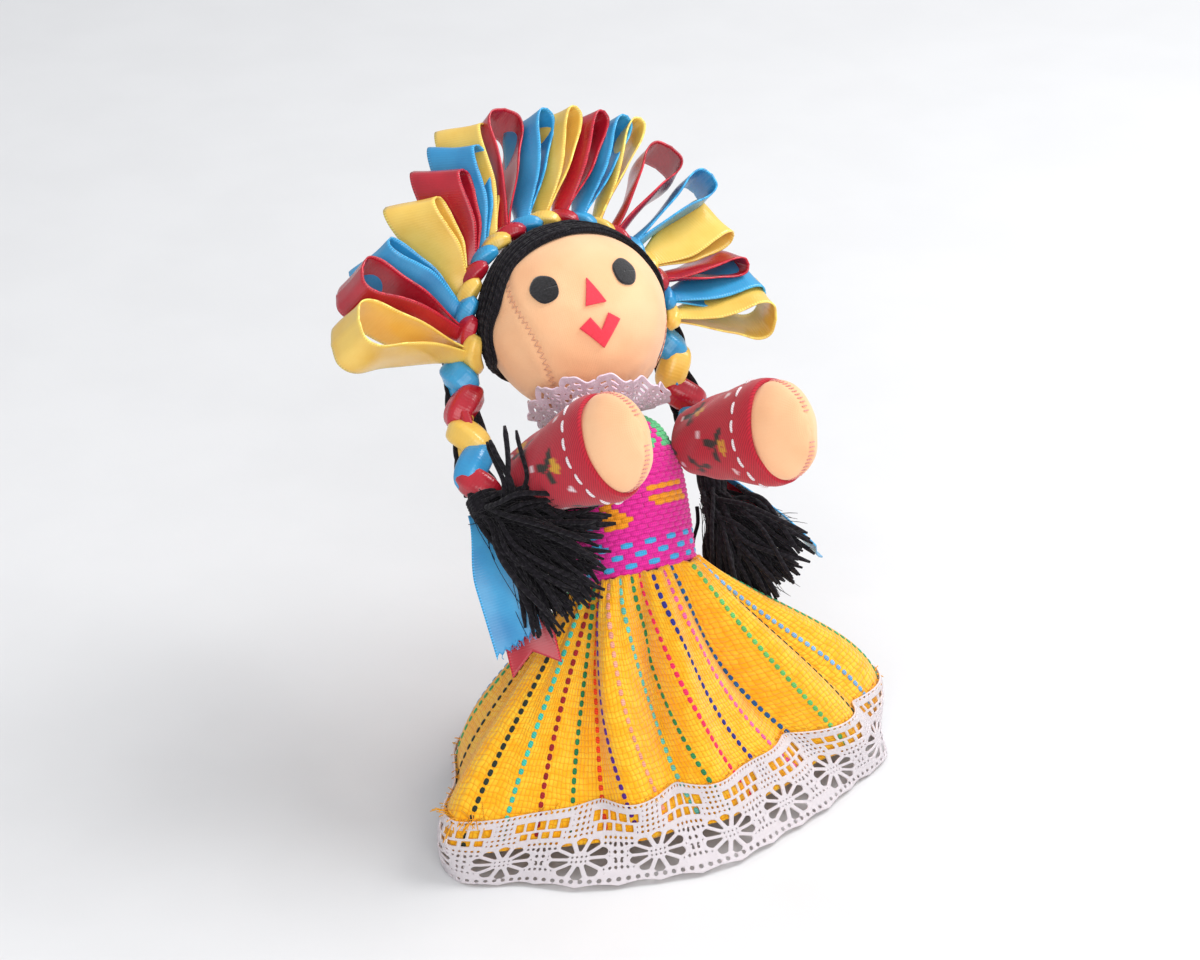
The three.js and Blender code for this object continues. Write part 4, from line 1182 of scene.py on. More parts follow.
def build_tails():
    for index, (node, (knots, wide, cut)) in enumerate(TAILS.items()):
        place, _, tone = node.split("_")
        path = curve_through(knots, TAIL_STEPS)
        across = np.linspace(-0.5, 0.5, TAIL_COLUMNS)
        run = lengths_along(path)
        width = sizes("ribbon_width") * (0.45 + 0.5 * smooth_step(0, 0.5, run / run[-1]))
        share = (run[-1] - trimmed(cut, across))[None] * (run / run[-1])[:, None]
        spots = at_lengths(path, run, share)
        broad = np.interp(share, run, width)
        along = unit(np.gradient(path, axis=0)).mean(0)
        side = unit(wide - along * (wide @ along))
        face = np.cross(along, side)
        sway = 0.7 * np.sin(share / run[-1] * 5 + index)[..., None] * face
        curl = 0.5 * np.sin(across * 4 + index)[None, :, None] * face
        points = spots + side * (across[None] * broad)[..., None] + sway + curl
        uv = np.stack([share, np.broadcast_to(across * 10, share.shape)], -1)
        shape = Shape()
        shape.sheet(from_torso(points), uv, sizes("ribbon_cloth"))
        if cut == "pinked":
            fray_tail(shape, points, along)
        piece = dress(shape.make("ribbon_" + node, ribbon_finish(tone)), place + "_braid",
                      (node,))
        flat = (round(sizes("ribbon_width") * MM, 5), round(run[-1] * MM, 4))


# Torso, bodice and collar
def stations_form(stations, sides, rings, grow=0.0):
    """Oval rings through stations of height, half width and half depth."""
    line = curve_through(stations, rings)
    angle = np.linspace(0, TURN, sides + 1)[:-1]
    points = np.stack([
        np.cos(angle)[:, None] * (line[:, 1] + grow),
        np.sin(angle)[:, None] * (line[:, 2] + grow),
        np.broadcast_to(line[:, 0], (sides, rings)),
    ], -1)
    run = lengths_along(line[:, :2])
    return points, cloth_grid(np.linspace(0, TURN, sides + 1) * line[:, 1].mean(), run)


def build_body():
    stations = [(z, half, half * TORSO_FLATNESS) for z, half in TORSO_STATIONS]
    points, uv = stations_form(stations, 64, 60)
    points = puffed(points, 0.15 * lumps(points, 6.0, 9))
    shape = Shape()
    shape.body(from_torso(points), uv)
    body = dress(shape.make("body_padded", skin_finish()), "torso",
                 ("body_cover", "body_stuffing"))


STITCH_ROW, STITCH_LONG, STITCH_RISE = 0.95, 2.0, 0.42
BODICE_REPEAT, BODICE_EASE = 12, 0.75


def bodice_tints(column, row):
    """Colours of the hand-woven motifs by stitch, which repeat round the bodice."""
    blue, orange, green = (np.array(linear(c)) for c in ("48B8EE", "FFA51E", "62D48C"))
    tint = np.broadcast_to(np.array(colours("bodice")), column.shape + (3,)).copy()
    step = column % BODICE_REPEAT
    dots = (row >= 1) & (row <= 5) & (row % 2 == 1) & ((column + row // 2) % 2 == 0)
    bar = (row >= 12) & (row <= 15) & (row != 14) & (step >= 1) & (step <= 4)
    block = (row >= 9) & (row <= 16) & (step >= 9) & (step <= 9 + (row // 3) % 2)
    dash = (row >= 5) & (row <= 11) & (row % 2 == 0) & (step == 7)
    tops = (row >= 23) & (column % 4 != 3)
    for mask, value in ((dots, blue), (bar, orange), (block, orange), (dash, blue), (tops, green)):
        tint[mask] = value
    return tint


def build_bodice():
    stations = [(z, half, half * TORSO_FLATNESS) for z, half in TORSO_STATIONS[3:8]]
    stations[0] = (-0.6, 10.45, 10.45 * TORSO_FLATNESS)
    sides, rings = 420, 150
    points, uv = stations_form(stations, sides, rings, BODICE_EASE)
    height = uv[:-1, :, 1]
    stitches = round(uv[-1, 0, 0] / STITCH_LONG)
    row = np.floor(height / STITCH_ROW).astype(int)
    shift = (row % 2) * 0.5
    place = np.linspace(0, 1, sides + 1)[:-1, None] * stitches + shift
    column = np.floor(place).astype(int)
    across = np.abs(np.sin(math.pi * place)) ** 0.45
    along = np.abs(np.sin(math.pi * height / STITCH_ROW)) ** 0.6
    out = unit(points * [1, 1 / TORSO_FLATNESS, 0])
    # Painted shade: each stitch is darker towards its edges, where it dips between the raised stitches
    tint = bodice_tints(column, row) * (0.8 + 0.2 * across * along)[..., None]
    points = points + out * (STITCH_RISE * across * along)[..., None]
    shape = Shape()
    shape.sheet(from_torso(points), uv, 0.5, wrap=True, tint=tint.reshape(-1, 3))
    finish = finish_named("hand_woven", tinted_cloth, 0.3, 0.08, False)
    piece = dress(shape.make("bodice_woven", finish), "torso", ("bodice",))


COLLAR = {"height": 28.6, "inner": 6.7, "reach": 13.4, "front": 6.6, "back": 0.9, "frills": 13}
# Where round the neck the frill stands highest, and where it is raised over the right sleeve
COLLAR_FRONT, COLLAR_RAISED = math.radians(240), math.radians(205)
COLLAR_TALL, COLLAR_WIDE, COLLAR_SCALLOPS = 8.8, 5.6, 13


def collar_point(u, down):
    """Middle surface of the frill, from the neck outwards."""
    front = (1 + np.cos(u - COLLAR_FRONT)) / 2
    right = (1 + np.cos(u - COLLAR_RAISED)) / 2
    rise = COLLAR["back"] + (COLLAR["front"] - COLLAR["back"]) * front**2 + 2.2 * right**4
    frill = down * (0.7 * np.sin(COLLAR["frills"] * u) + 0.25 * np.sin(29 * u + 1))
    reach = COLLAR["inner"] + (COLLAR["reach"] - COLLAR["inner"] + 2.6 * front**4) * down
    reach = reach + 0.35 * down * np.cos(COLLAR["frills"] * u + 1)
    return np.stack([reach * np.cos(u), reach * np.sin(u),
                     COLLAR["height"] + rise * down + frill], -1)


def collar_field(s, t):
    """Pattern of the collar lace: eyelets, arches of holes and a scalloped edge."""
    x, y = (s * COLLAR_SCALLOPS) % 1 - 0.5, t * COLLAR_TALL
    edge = COLLAR_TALL - 1.3 + 1.2 * np.sqrt(np.clip(1 - (2 * x) ** 2, 0, 1)) - y
    arch = np.hypot(x * COLLAR_WIDE, y - 3.6)
    rings = np.abs((arch / 1.1) % 1 - 0.5) * 1.1 - 0.25
    ribs = np.abs((np.arctan2(x * COLLAR_WIDE, y - 2.6) * 2.6) % 1 - 0.5)
    holes = np.maximum(rings, (0.2 - ribs) * 1.5)
    holes = np.where((y > 3.0) & (y < COLLAR_TALL - 1.0) & (edge > 0.45), holes, 1.0)
    eyelet = np.hypot(((s * COLLAR_SCALLOPS * 4) % 1 - 0.5) * 1.3, y - 1.9) - 0.42
    return np.minimum(np.minimum(edge, holes), eyelet)


def build_collar():
    def place(s, t):
        u, step = s * TURN, 1e-3
        du = collar_point(u + step, t) - collar_point(u - step, t)
        dv = collar_point(u, t + step) - collar_point(u, t - step)
        return from_torso(collar_point(u, t)), unit(np.cross(du, dv)) @ TORSO_TURN.T

    shape = Shape()
    pierced(shape, place, collar_field, 520, 60, sizes("lace_thread"), True)
    # FBE0F3 is the painted shade in the holes of the net
    finish = finish_named("collar_net", lace_net, colours("collar"), linear("FBE0F3"), 0.5)
    piece = dress(shape.make("collar_frill", finish), "torso", ("collar_lace",))


# Arms and legs
# Side, turn and rise of each arm
ARMS = {"right": (-1, 19, 8), "left": (1, 14, -3)}
ARM_STATIONS = (
    (-4.9, 0.8, 0.8), (-4.3, 2.4, 2.4), (-2.06, 4.9, 4.9), (0, 5.4, 5.4), (10.85, 5.8, 7.3),
    (20.6, 6.1, 8.9), (23.4, 6.1, 9.1), (26.4, 5.0, 8.0), (29.5, 2.7, 5.2), (30.9, 0.8, 1.9),
)
HAND_START, HAND_STITCH, HAND_THREAD = 19.5, 0.9, 0.1


def lay_forward(points):
    """Turns a form that is built upright to point forwards."""
    return np.stack([points[..., 0], -points[..., 2], points[..., 1]], -1)


def build_arms():
    for name, pose in ARMS.items():
        points, uv = stations_form(ARM_STATIONS, 72, 80)
        far = smooth_step(18, 23, points[..., 2])
        dent = -0.22 * hump(points[..., 0], 0.6) * far + 0.14 * lumps(points, 4.0, 31) * far
        points = points + unit(points * [1, 1, 0.15]) * dent[..., None]
        shape = Shape()
        shape.body(from_arm(lay_forward(points), *pose), uv)
        arm = dress(shape.make(f"{name}_arm_padded", skin_finish()), f"{name}_arm",
                    (f"{name}_arm_cover", f"{name}_arm_stuffing"))
        build_hand_seam(name, pose)
        build_sleeve(name, pose)


def build_hand_seam(name, pose):
    """Row of small stitches over the top, tip and underside of a hand."""
    line = curve_through(ARM_STATIONS, 400)
    line = line[line[:, 0] > HAND_START]
    run = lengths_along(line[:, [0, 2]])
    shape = Shape()
    for way in (1, -1):
        for at in np.arange(0.4, run[-1] - 0.3, HAND_STITCH):
            along, _, tall = at_lengths(line, run, at)
            dash = [[0.5 * f, -along - 0.12 * f, way * (tall + 0.03)] for f in np.linspace(-1, 1, 5)]
            shape.tube(from_arm(dash, *pose), HAND_THREAD, 5, linear("F3A3A0"))
    dress(shape.make(f"{name}_hand_seam", stitch_finish()), f"{name}_arm")


# Printed sprigs: rows along a sleeve, sprigs round it, and each leaf's direction and length
SPRIG_ROWS, SPRIGS_ROUND, SPRIG_PITCH = 3, 4, 7.2
SPRIG_LEAVES = ((0.5, 1.7), (2.6, 1.5), (4.3, 1.3))
LEAF_AWAY, FLOWER_AWAY, PETAL_AWAY, PETALS = 1.7, 2.2, 0.75, 5
SPRIG_SEED = {"left": 71, "right": 64}


def sprig_tints(along, around, girth, name):
    """Colours of a small printed sprig: dark leaves, yellow flowers and white dots."""
    ground = np.array(colours("sleeve"))
    leaf, petal, dot = (np.array(linear(c)) for c in ("2E2A22", "D9A02B", "F3DCE0"))
    tint = np.broadcast_to(ground, along.shape + (3,)).copy()
    rng = random.Random(SPRIG_SEED[name])

    def spot(x, y, long, wide, turn, value):
        dx = (around - x + girth / 2) % girth - girth / 2
        dy = along - y
        c, s = math.cos(turn), math.sin(turn)
        inside = ((dx * c + dy * s) / long) ** 2 + ((dy * c - dx * s) / wide) ** 2
        mask = smooth_step(1.2, 0.8, inside)[..., None]
        np.copyto(tint, tint * (1 - mask) + value * mask)

    def ring_of(x, y, away, turn):
        return x + away * math.cos(turn), y + away * math.sin(turn)

    for r in range(SPRIG_ROWS):
        for k in range(SPRIGS_ROUND):
            x = girth * (k + 0.5 * (r % 2) + rng.uniform(-0.1, 0.1)) / SPRIGS_ROUND
            y = 3.5 + SPRIG_PITCH * r + rng.uniform(-0.8, 0.8)
            turn = rng.uniform(0, TURN)
            for bend, long in SPRIG_LEAVES:
                spot(*ring_of(x, y, LEAF_AWAY, turn + bend), long, 0.72, turn + bend, leaf)
            spot(x, y, 1.9, 0.24, turn, leaf)
            flower = ring_of(x, y, FLOWER_AWAY, turn - 0.5)
            if (k + r) % 2 == 0:
                for p in range(PETALS):
                    way = p * TURN / PETALS
                    spot(*ring_of(*flower, PETAL_AWAY, way), 0.62, 0.5, way, petal)
            spot(x + 4.6, y + 3.0, 0.62, 0.62, 0, dot)
    return tint


# Sleeves: ease over the arm, girth of the print, turned-in hem, and the row of cuff stitches
SLEEVE_EASE, CUFF_SLACK, SLEEVE_GIRTH = 0.75, 0.1, 46.0
SLEEVE_RINGS, SLEEVE_SIDES, HEM_TURNED, HEM_INSET = 96, 200, 14, 0.62
CUFF_ROW, CUFF_PITCH, CUFF_POINTS = 4.2, 1.5, 7
CUFF_THREAD, CUFF_THREAD_END = 0.27, 0.15
SLEEVE_SEED = {"left": 51, "right": 52}


def sleeve_outline():
    """Rings of a sleeve's outside: place along the arm, half width and half height."""
    closed_end = [
        (-5.75, 0.4, 0.4), (-5.5, 1.6, 1.6), (SLEEVE_PRINT_START, 3.1, 3.1), (-4.2, 4.4, 4.4),
    ]
    over_arm = [
        (-2.06, 5.5, 5.5), (0, ARM_ROOT, ARM_ROOT), (10.85, 6.35, 7.8),
        (SLEEVE_LENGTH - 3, 6.4, 9.1), (SLEEVE_LENGTH, HAND_HALF_WIDTH, HAND_HALF_TALL),
    ]
    eased = np.array(over_arm) + [0, SLEEVE_EASE, SLEEVE_EASE]
    eased[-1, 1:] += CUFF_SLACK
    return curve_through(np.vstack([closed_end, eased]), SLEEVE_RINGS)


def build_sleeve(name, pose):
    outer = sleeve_outline()
    inner = outer[-2:-HEM_TURNED:-1] - [0, HEM_INSET, HEM_INSET]
    lip = np.array([outer[-1] + [0.28, -0.3, -0.3]])
    line = np.vstack([outer, lip, inner])
    angle = np.linspace(0, TURN, SLEEVE_SIDES + 1)[:-1]
    points = np.stack([
        np.cos(angle)[:, None] * line[:, 1], np.sin(angle)[:, None] * line[:, 2],
        np.broadcast_to(line[:, 0], (SLEEVE_SIDES, len(line))),
    ], -1)
    free = smooth_step(0, 8, line[:, 0])
    crease = 0.22 * np.sin(7 * angle[:, None] + line[:, 0] * 0.5) * hump(line[:, 0] - 3, 5)
    sag = 0.2 * lumps(points, 5.0, SLEEVE_SEED[name]) * free
    points = puffed(points, crease + sag)
    run = lengths_along(line[:, :2])
    run = run - np.interp(SLEEVE_PRINT_START, outer[:, 0], run[:len(outer)])
    uv = cloth_grid(np.linspace(0, SLEEVE_GIRTH, SLEEVE_SIDES + 1), run)
    tint = sprig_tints(uv[:-1, :, 1], uv[:-1, :, 0], SLEEVE_GIRTH, name)
    shape = Shape()
    shape.sheet(from_arm(lay_forward(points), *pose), uv, 0.4, wrap=True, tint=tint.reshape(-1, 3))
    finish = finish_named("printed_twill", tinted_cloth, 0.3, 0.06, True)
    piece = dress(shape.make(f"{name}_sleeve_print", finish), f"{name}_arm",
                  (f"{name}_sleeve",))
    ring = points[:, int(np.argmin(np.abs(outer[:, 0] - (SLEEVE_LENGTH - CUFF_ROW))))]
    build_cuff_stitches(name, pose, np.vstack([ring, ring[:1]]))


def build_cuff_stitches(name, pose, ring):
    """Running stitch round a cuff."""
    run = lengths_along(ring)
    shape = Shape()
    count = int(run[-1] / (sizes("stitch") * CUFF_PITCH))
    for k in range(count):
        start = run[-1] * k / count
        spots = at_lengths(ring, run, start + np.linspace(0, sizes("stitch"), CUFF_POINTS))
        spots = puffed(spots, 0.2 + 0.16 * np.sin(np.linspace(0, math.pi, CUFF_POINTS)))
        radius = np.full(CUFF_POINTS, CUFF_THREAD)
        radius[[0, -1]] = CUFF_THREAD_END
        shape.tube(from_arm(lay_forward(spots), *pose), radius, 7, colours("thread"))
    dress(shape.make(f"{name}_cuff_stitches", stitch_finish()), f"{name}_arm")


LEG_STATIONS = (
    (0.05, 3.9, 3.9), (0.9, 4.7, 4.7), (4, 4.9, 4.9), (9, 4.2, 4.2), (20.9, 5, 5),
    (32.2, 5, 5), (35.7, 3.55, 3.55), (37.2, 1.5, 1.5),
)
LEG_ASIDE, LEG_BACK = 6.3, 4.6


def build_legs():
    for name, side in (("right", -1), ("left", 1)):
        points, uv = stations_form(LEG_STATIONS, 48, 60)
        points[..., 2] = points[..., 2].clip(0.05, None)
        points = puffed(points, 0.12 * lumps(points, 5.0, 61))
        shape = Shape()
        shape.body(from_doll(points + [side * LEG_ASIDE, LEG_BACK, 0]), uv)
        leg = dress(shape.make(f"{name}_leg_padded", skin_finish()), f"{name}_leg",
                    (f"{name}_leg_cover", f"{name}_leg_stuffing"))


# Skirt and hem lace
def hem_point(u):
    """Point of the hem's closed outline by angle."""
    knots = np.array(HEM_OUTLINE) * [HEM_HALF_WIDTH, HEM_HALF_DEPTH]
    t = (np.asarray(u, float) / TURN % 1) * len(knots)
    i = t.astype(int)
    near = (knots[(i + k) % len(knots)] for k in (-1, 0, 1, 2))
    return cubic(*near, (t - i)[..., None])


# Folds of the skirt: degrees round it at the waist and near the hem, half width, depth outwards
SKIRT_FOLDS = (
    (190, 186, 9, -0.8), (212, 229, 8, -3.4), (221, 244, 10, 2.6), (252, 255, 7.5, -3.2),
    (264, 270, 9, 2.2), (290, 307, 8, -3.6), (312, 322, 11, 2.6), (337, 336, 7.5, -2.8),
    (355, 352, 10, 1.7), (18, 16, 9, -1.8), (40, 40, 10, 1.7), (64, 64, 9, -1.7), (88, 88, 10, 1.6),
    (112, 112, 9, -1.7), (136, 136, 10, 1.5), (160, 160, 9, -1.2),
)


def skirt_folds(u, down):
    """How far the folds carry the cloth outwards."""
    turn = np.degrees(u)
    total = np.zeros(np.broadcast(u, down).shape)
    for at_waist, at_hem, half, depth in SKIRT_FOLDS:
        centre = at_waist + (at_hem - at_waist) * np.clip(down / 0.8, 0, 1)
        away = (turn - centre + 180) % 360 - 180
        total += depth * hump(away, half)
    share = 0.32 * (1 - down) + np.sin(math.pi * np.clip(down / 0.96, 0, 1)) ** 1.2
    gather = 0.35 * (1 - down) ** 2 * np.cos(33 * u + 1.3 * np.sin(3 * u))
    return 1.2 * total * share + gather + 0.5 * down**2 * np.cos(11 * u + 0.9 * np.sin(2 * u))


def skirt_point(u, down):
    """Middle surface of the skirt, from the leaning waist to the flat hem."""
    c, s = np.cos(u), np.sin(u)
    lean = math.radians(TORSO_LEAN)
    waist_y = WAIST_HALF_Y * s
    top_x = WAIST_HALF_X * c
    top_y = WAIST_BACK + waist_y * math.cos(lean) - 0.5 * math.sin(lean)
    top_z = WAIST_HEIGHT - waist_y * math.sin(lean) - 0.5 * math.cos(lean)
    swell = np.where(s < 0, SIDE_PUFF + FRONT_HOLLOW, BACK_PUFF)
    out = down + (SIDE_PUFF + SIDE_SWAY * c + swell * s) * np.sin(math.pi * down**PUFF_LOW)
    hem = hem_point(u)
    depth = skirt_folds(u, down)
    x = top_x + (hem[..., 0] - top_x) * out + depth * c
    y = top_y + (hem[..., 1] - top_y) * out + depth * s
    return np.stack([x, y, top_z * (1 - down)], -1)


def skirt_frame(u, down):
    """Point and outward normal of the skirt."""
    step = 1e-3
    here = skirt_point(u, down)
    low = np.maximum(down - step, 0)
    dv = skirt_point(u, low + step) - skirt_point(u, low)
    du = skirt_point(u + step, down) - skirt_point(u - step, down)
    return from_doll(here), unit(np.cross(dv, du))


def hem_table():
    """Angle round the skirt against length along its hem."""
    steps = 2881
    u = np.linspace(0, TURN, steps)
    return u, lengths_along(skirt_point(u, np.full(steps, 0.9)))


STRIPES = (
    "24322A", "3FC9B4", "9B1B22", "1F7F4E", "F2451E", "5A2390", "F7A58C", "6CCFC0", "2F8F58",
    "FF2E63", "2C2F8C", "F768A8", "1F5FA0", "66C06A", "17402E", "7FB6E8", "35A86B",
)
# Degrees round the hem where the stripes start
FIRST_STRIPE = 186.0
# Stripes left out where the cloth is joined, at the right side
BARE_STRIPES = 2
# How far the front of the cloth is pulled aside at the waist, in degrees
WARP_PULL = 26
STRIPE_FLAT, STRIPE_STEPS, STRIPE_RAISED = 0.4, 160, 0.04
DASH_TAPER = np.array([0.55, 0.95, 1, 1, 0.95, 0.55])
FRAYED, CORNER_FRAYED, FRAY_THREAD = 230, 40, 0.11


def lie_of_cloth(u, down):
    """Angle at which the warp that hangs at u on the hem lies higher up."""
    turn = np.degrees(u) % 360
    pulled = smooth_step(195, 245, turn) * smooth_step(350, 290, turn)
    return u - math.radians(WARP_PULL) * pulled * np.clip(1 - down / 0.85, 0, 1)


def stripe_threads(shape, rng, at, tone):
    """Dashes of one stripe, down the skirt at an angle round it."""
    downs = np.linspace(0.01, SKIRT_END - 0.004, STRIPE_STEPS)
    line, out = skirt_frame(lie_of_cloth(np.full(STRIPE_STEPS, at), downs), downs)
    reach = lengths_along(line)
    pitch = sizes("dash") + sizes("dash_gap")
    lift = sizes("skirt_cloth") / 2 + STRIPE_RAISED
    radius = sizes("stripe_width") / 2 * DASH_TAPER
    for start in np.arange(rng.uniform(0, 0.6), reach[-1] - pitch, pitch):
        along = start + np.linspace(0, sizes("dash") * rng.uniform(0.88, 1.08), len(DASH_TAPER))
        spots = at_lengths(line, reach, along)
        outs = unit(at_lengths(out, reach, along))
        wide = np.cross(outs, np.gradient(spots, axis=0))
        shade = np.clip(tone * rng.uniform(0.85, 1.2), 0, 1)
        shape.tube(spots + outs * lift, radius, 8, shade, side=wide, flat=STRIPE_FLAT)


def frayed_threads(shape, rng):
    """Loose threads at the lower edge of the skirt, longest at its right corner."""
    for k in range(FRAYED):
        corner = k < CORNER_FRAYED
        turn = rng.uniform(168, 192) if corner else rng.uniform(0, 360)
        at = np.full(2, math.radians(turn))
        spots, out = skirt_frame(at, np.array([0.74, 0.76]))
        fall = unit(spots[1] - spots[0])
        long = rng.uniform(1.5, 4.5) if corner else rng.uniform(0.6, 1.8)
        way = unit(out[0] * rng.uniform(0.2, 1.0) + fall * rng.uniform(-0.5, 0.9) + strayed(rng, 0.4))
        step = np.linspace(0, 1, 6)[:, None]
        droop = np.array([0, 0, -0.25]) * long * step**2
        path = spots[0] + out[0] * 0.3 + way * long * step + droop
        shape.tube(path, FRAY_THREAD, 4, np.array(colours("skirt")) * rng.uniform(0.85, 1.15))


def build_skirt():
    around, downs = 720, 72
    u = np.linspace(0, TURN, around + 1)
    uu, dd = np.meshgrid(u, np.linspace(0, SKIRT_END, downs), indexing="ij")
    points = skirt_frame(lie_of_cloth(uu, dd), dd)[0]
    table_u, run = hem_table()
    girth = run[-1]
    steps = np.linalg.norm(np.diff(points, axis=1), axis=2)
    fall = np.concatenate([np.zeros((around + 1, 1)), np.cumsum(steps, 1)], 1)
    uv = np.stack([np.interp(uu, table_u, run), fall], -1)
    shape = Shape()
    shape.sheet(points[:-1, ::-1], uv[:, ::-1], sizes("skirt_cloth"), wrap=True)
    finish = finish_named("skirt_weave", coarse_weave, colours("skirt"), colours("skirt_shade"),
                          colours("skirt_light"))
    skirt = dress(shape.make("skirt_cloth", finish), "torso", ("skirt",))
    threads = Shape()
    rng = random.Random(17)
    count = round(girth / sizes("stripe_pitch"))
    first = np.interp(math.radians(FIRST_STRIPE), table_u, run)
    for k in range(count - BARE_STRIPES):
        at = np.interp((first + girth * k / count) % girth, run, table_u)
        stripe_threads(threads, rng, at, np.array(linear(STRIPES[k % len(STRIPES)])))
    frayed_threads(threads, rng)
    stripes = dress(threads.make("skirt_stripes", stitch_finish()), "torso")


LACE_TALL = 15.5
NET_PITCH = 1.05
LACE_COLUMNS, LACE_ROWS = 1320, 68
# Rows of square holes: height, half width, half height, places across a flower's span
LACE_BLOCKS = (
    (2.9, 0.82, 0.95, (-5.1, -3.0, -0.9, 1.2, 3.3)),
    (5.0, 0.74, 0.7, (-4.0, -1.9, 0.2, 2.3)),
)
# Flowers: petals, half width, half height, height of the middle
FLOWER_PETALS, FLOWER_HALF_WIDE, FLOWER_HALF_TALL, FLOWER_MIDDLE = 10, 5.5, 3.7, 10.1
HEART_PITCH, EYELET_PITCH, EDGE_HOLES = 0.85, 1.25, 9
# A value well above 0, where a pattern makes no hole
NO_HOLE = 9.0


def box_field(x, y, half_x, half_y):
    """Below 0 inside a square hole."""
    return np.maximum(np.abs(x) - half_x, np.abs(y) - half_y)


def round_holes(x, y, pitch):
    """Distance from the nearest of a square grid of spots, in pitches."""
    return np.hypot((x / pitch) % 1 - 0.5, (y / pitch) % 1 - 0.5)


def hem_lace_field(s, t, flowers, pitch):
    """Pattern of the hem lace: a plain band, square holes and a row of flowers."""
    y = t * LACE_TALL
    group = ((s * flowers) % 1 - 0.5) * pitch
    x = ((s * flowers + 0.5) % 1 - 0.5) * pitch
    value = LACE_TALL - 0.2 - 0.5 * np.abs(np.sin(s * flowers * TURN)) - y
    for height, half_x, half_y, places in LACE_BLOCKS:
        for off in places:
            value = np.minimum(value, box_field(group - off, y - height, half_x, half_y))
    wide, tall = x / FLOWER_HALF_WIDE, (y - FLOWER_MIDDLE) / FLOWER_HALF_TALL
    ring = np.hypot(wide, tall)
    sector = (np.arctan2(tall, wide) / TURN * FLOWER_PETALS) % 1 - 0.5
    spoke = (np.abs(sector) - 0.5) * ring * 3.0 + 0.36
    rim = 0.8 + 0.2 * np.cos(sector * math.pi)
    petal = np.maximum(np.maximum((0.36 - ring) * 4.0, (ring - rim) * 4.0), spoke)
    net = np.where(ring < 0.3, round_holes(x, y, HEART_PITCH) - 0.26, NO_HOLE)
    corner_ring = np.hypot(group / 1.7, (y - 9.3) / 1.5)
    eyelets = np.where(corner_ring < 1, round_holes(group, y, EYELET_PITCH) - 0.27, NO_HOLE)
    edge_row = np.hypot((s * flowers * EDGE_HOLES) % 1 - 0.5, (y - LACE_TALL + 1.35) / 1.5) - 0.27
    for hole in (petal, net, eyelets, edge_row):
        value = np.minimum(value, hole)
    across = (s * flowers * round(pitch / NET_PITCH)) % 1 - 0.5
    mesh = (np.hypot(across, (y / NET_PITCH) % 1 - 0.5) - 0.29) * NET_PITCH
    return np.minimum(value, mesh + 1.5 * np.clip(0.7 - value, 0, None))


def build_hem_lace():
    table_u, run = hem_table()
    girth = run[-1]
    flowers = round(girth / sizes("lace_pitch"))
    pitch = girth / flowers

    def place(s, t):
        u = np.interp(s * girth, run, table_u)
        points, normal = skirt_frame(u, LACE_START + (1 - LACE_START) * t)
        points = points + normal * LACE_LIFT
        points[:, 2] = points[:, 2].clip(sizes("lace_thread") / 2, None)
        return points, normal

    def field(s, t):
        return hem_lace_field(s, t, flowers, pitch)

    shape = Shape()
    pierced(shape, place, field, LACE_COLUMNS, LACE_ROWS, sizes("lace_thread"), True)
    # F9EDF3 is the painted shade in the holes of the net
    finish = finish_named("hem_net", lace_net, colours("lace"), linear("F9EDF3"), 0.42)
    lace = dress(shape.make("hem_lace_net", finish), "torso", ("hem_lace",))


# Stage, in metres
CAMERA_PLACE = (-0.22152, -0.46843, 0.34387)
CAMERA_RIGHT, CAMERA_UP = (0.9063, -0.4226, 0.0), (0.2049, 0.4394, 0.8746)
CAMERA_BACK = (-0.3696, -0.7927, 0.4848)
SENSOR_WIDTH, LENS = 36.0, 93.6
FLOOR_HALF = 3.0
SKY_COLOUR, SKY_STRENGTH = (0.95, 0.97, 1.0, 1.0), 0.6
LAMPS = (
    # name, place, aim, size, power
    ("window", (0.5, -0.05, 0.7), (0, 0, 0.04), 0.55, 5.3),
    ("front_fill", (-0.25, -0.8, 0.5), (0, 0, 0.05), 0.9, 4.5),
)


def area_lamp(name, place, aim, size, power):
    lamp = bpy.data.lights.new(name, "AREA")
    lamp.shape, lamp.size, lamp.energy = "DISK", size, power
    holder = bpy.data.objects.new(name, lamp)
    bpy.context.scene.collection.objects.link(holder)
    way = np.array(aim, float) - np.array(place, float)
    holder.location = place
    holder.rotation_mode = "QUATERNION"
    holder.rotation_quaternion = Vector(way).to_track_quat("-Z", "Y")


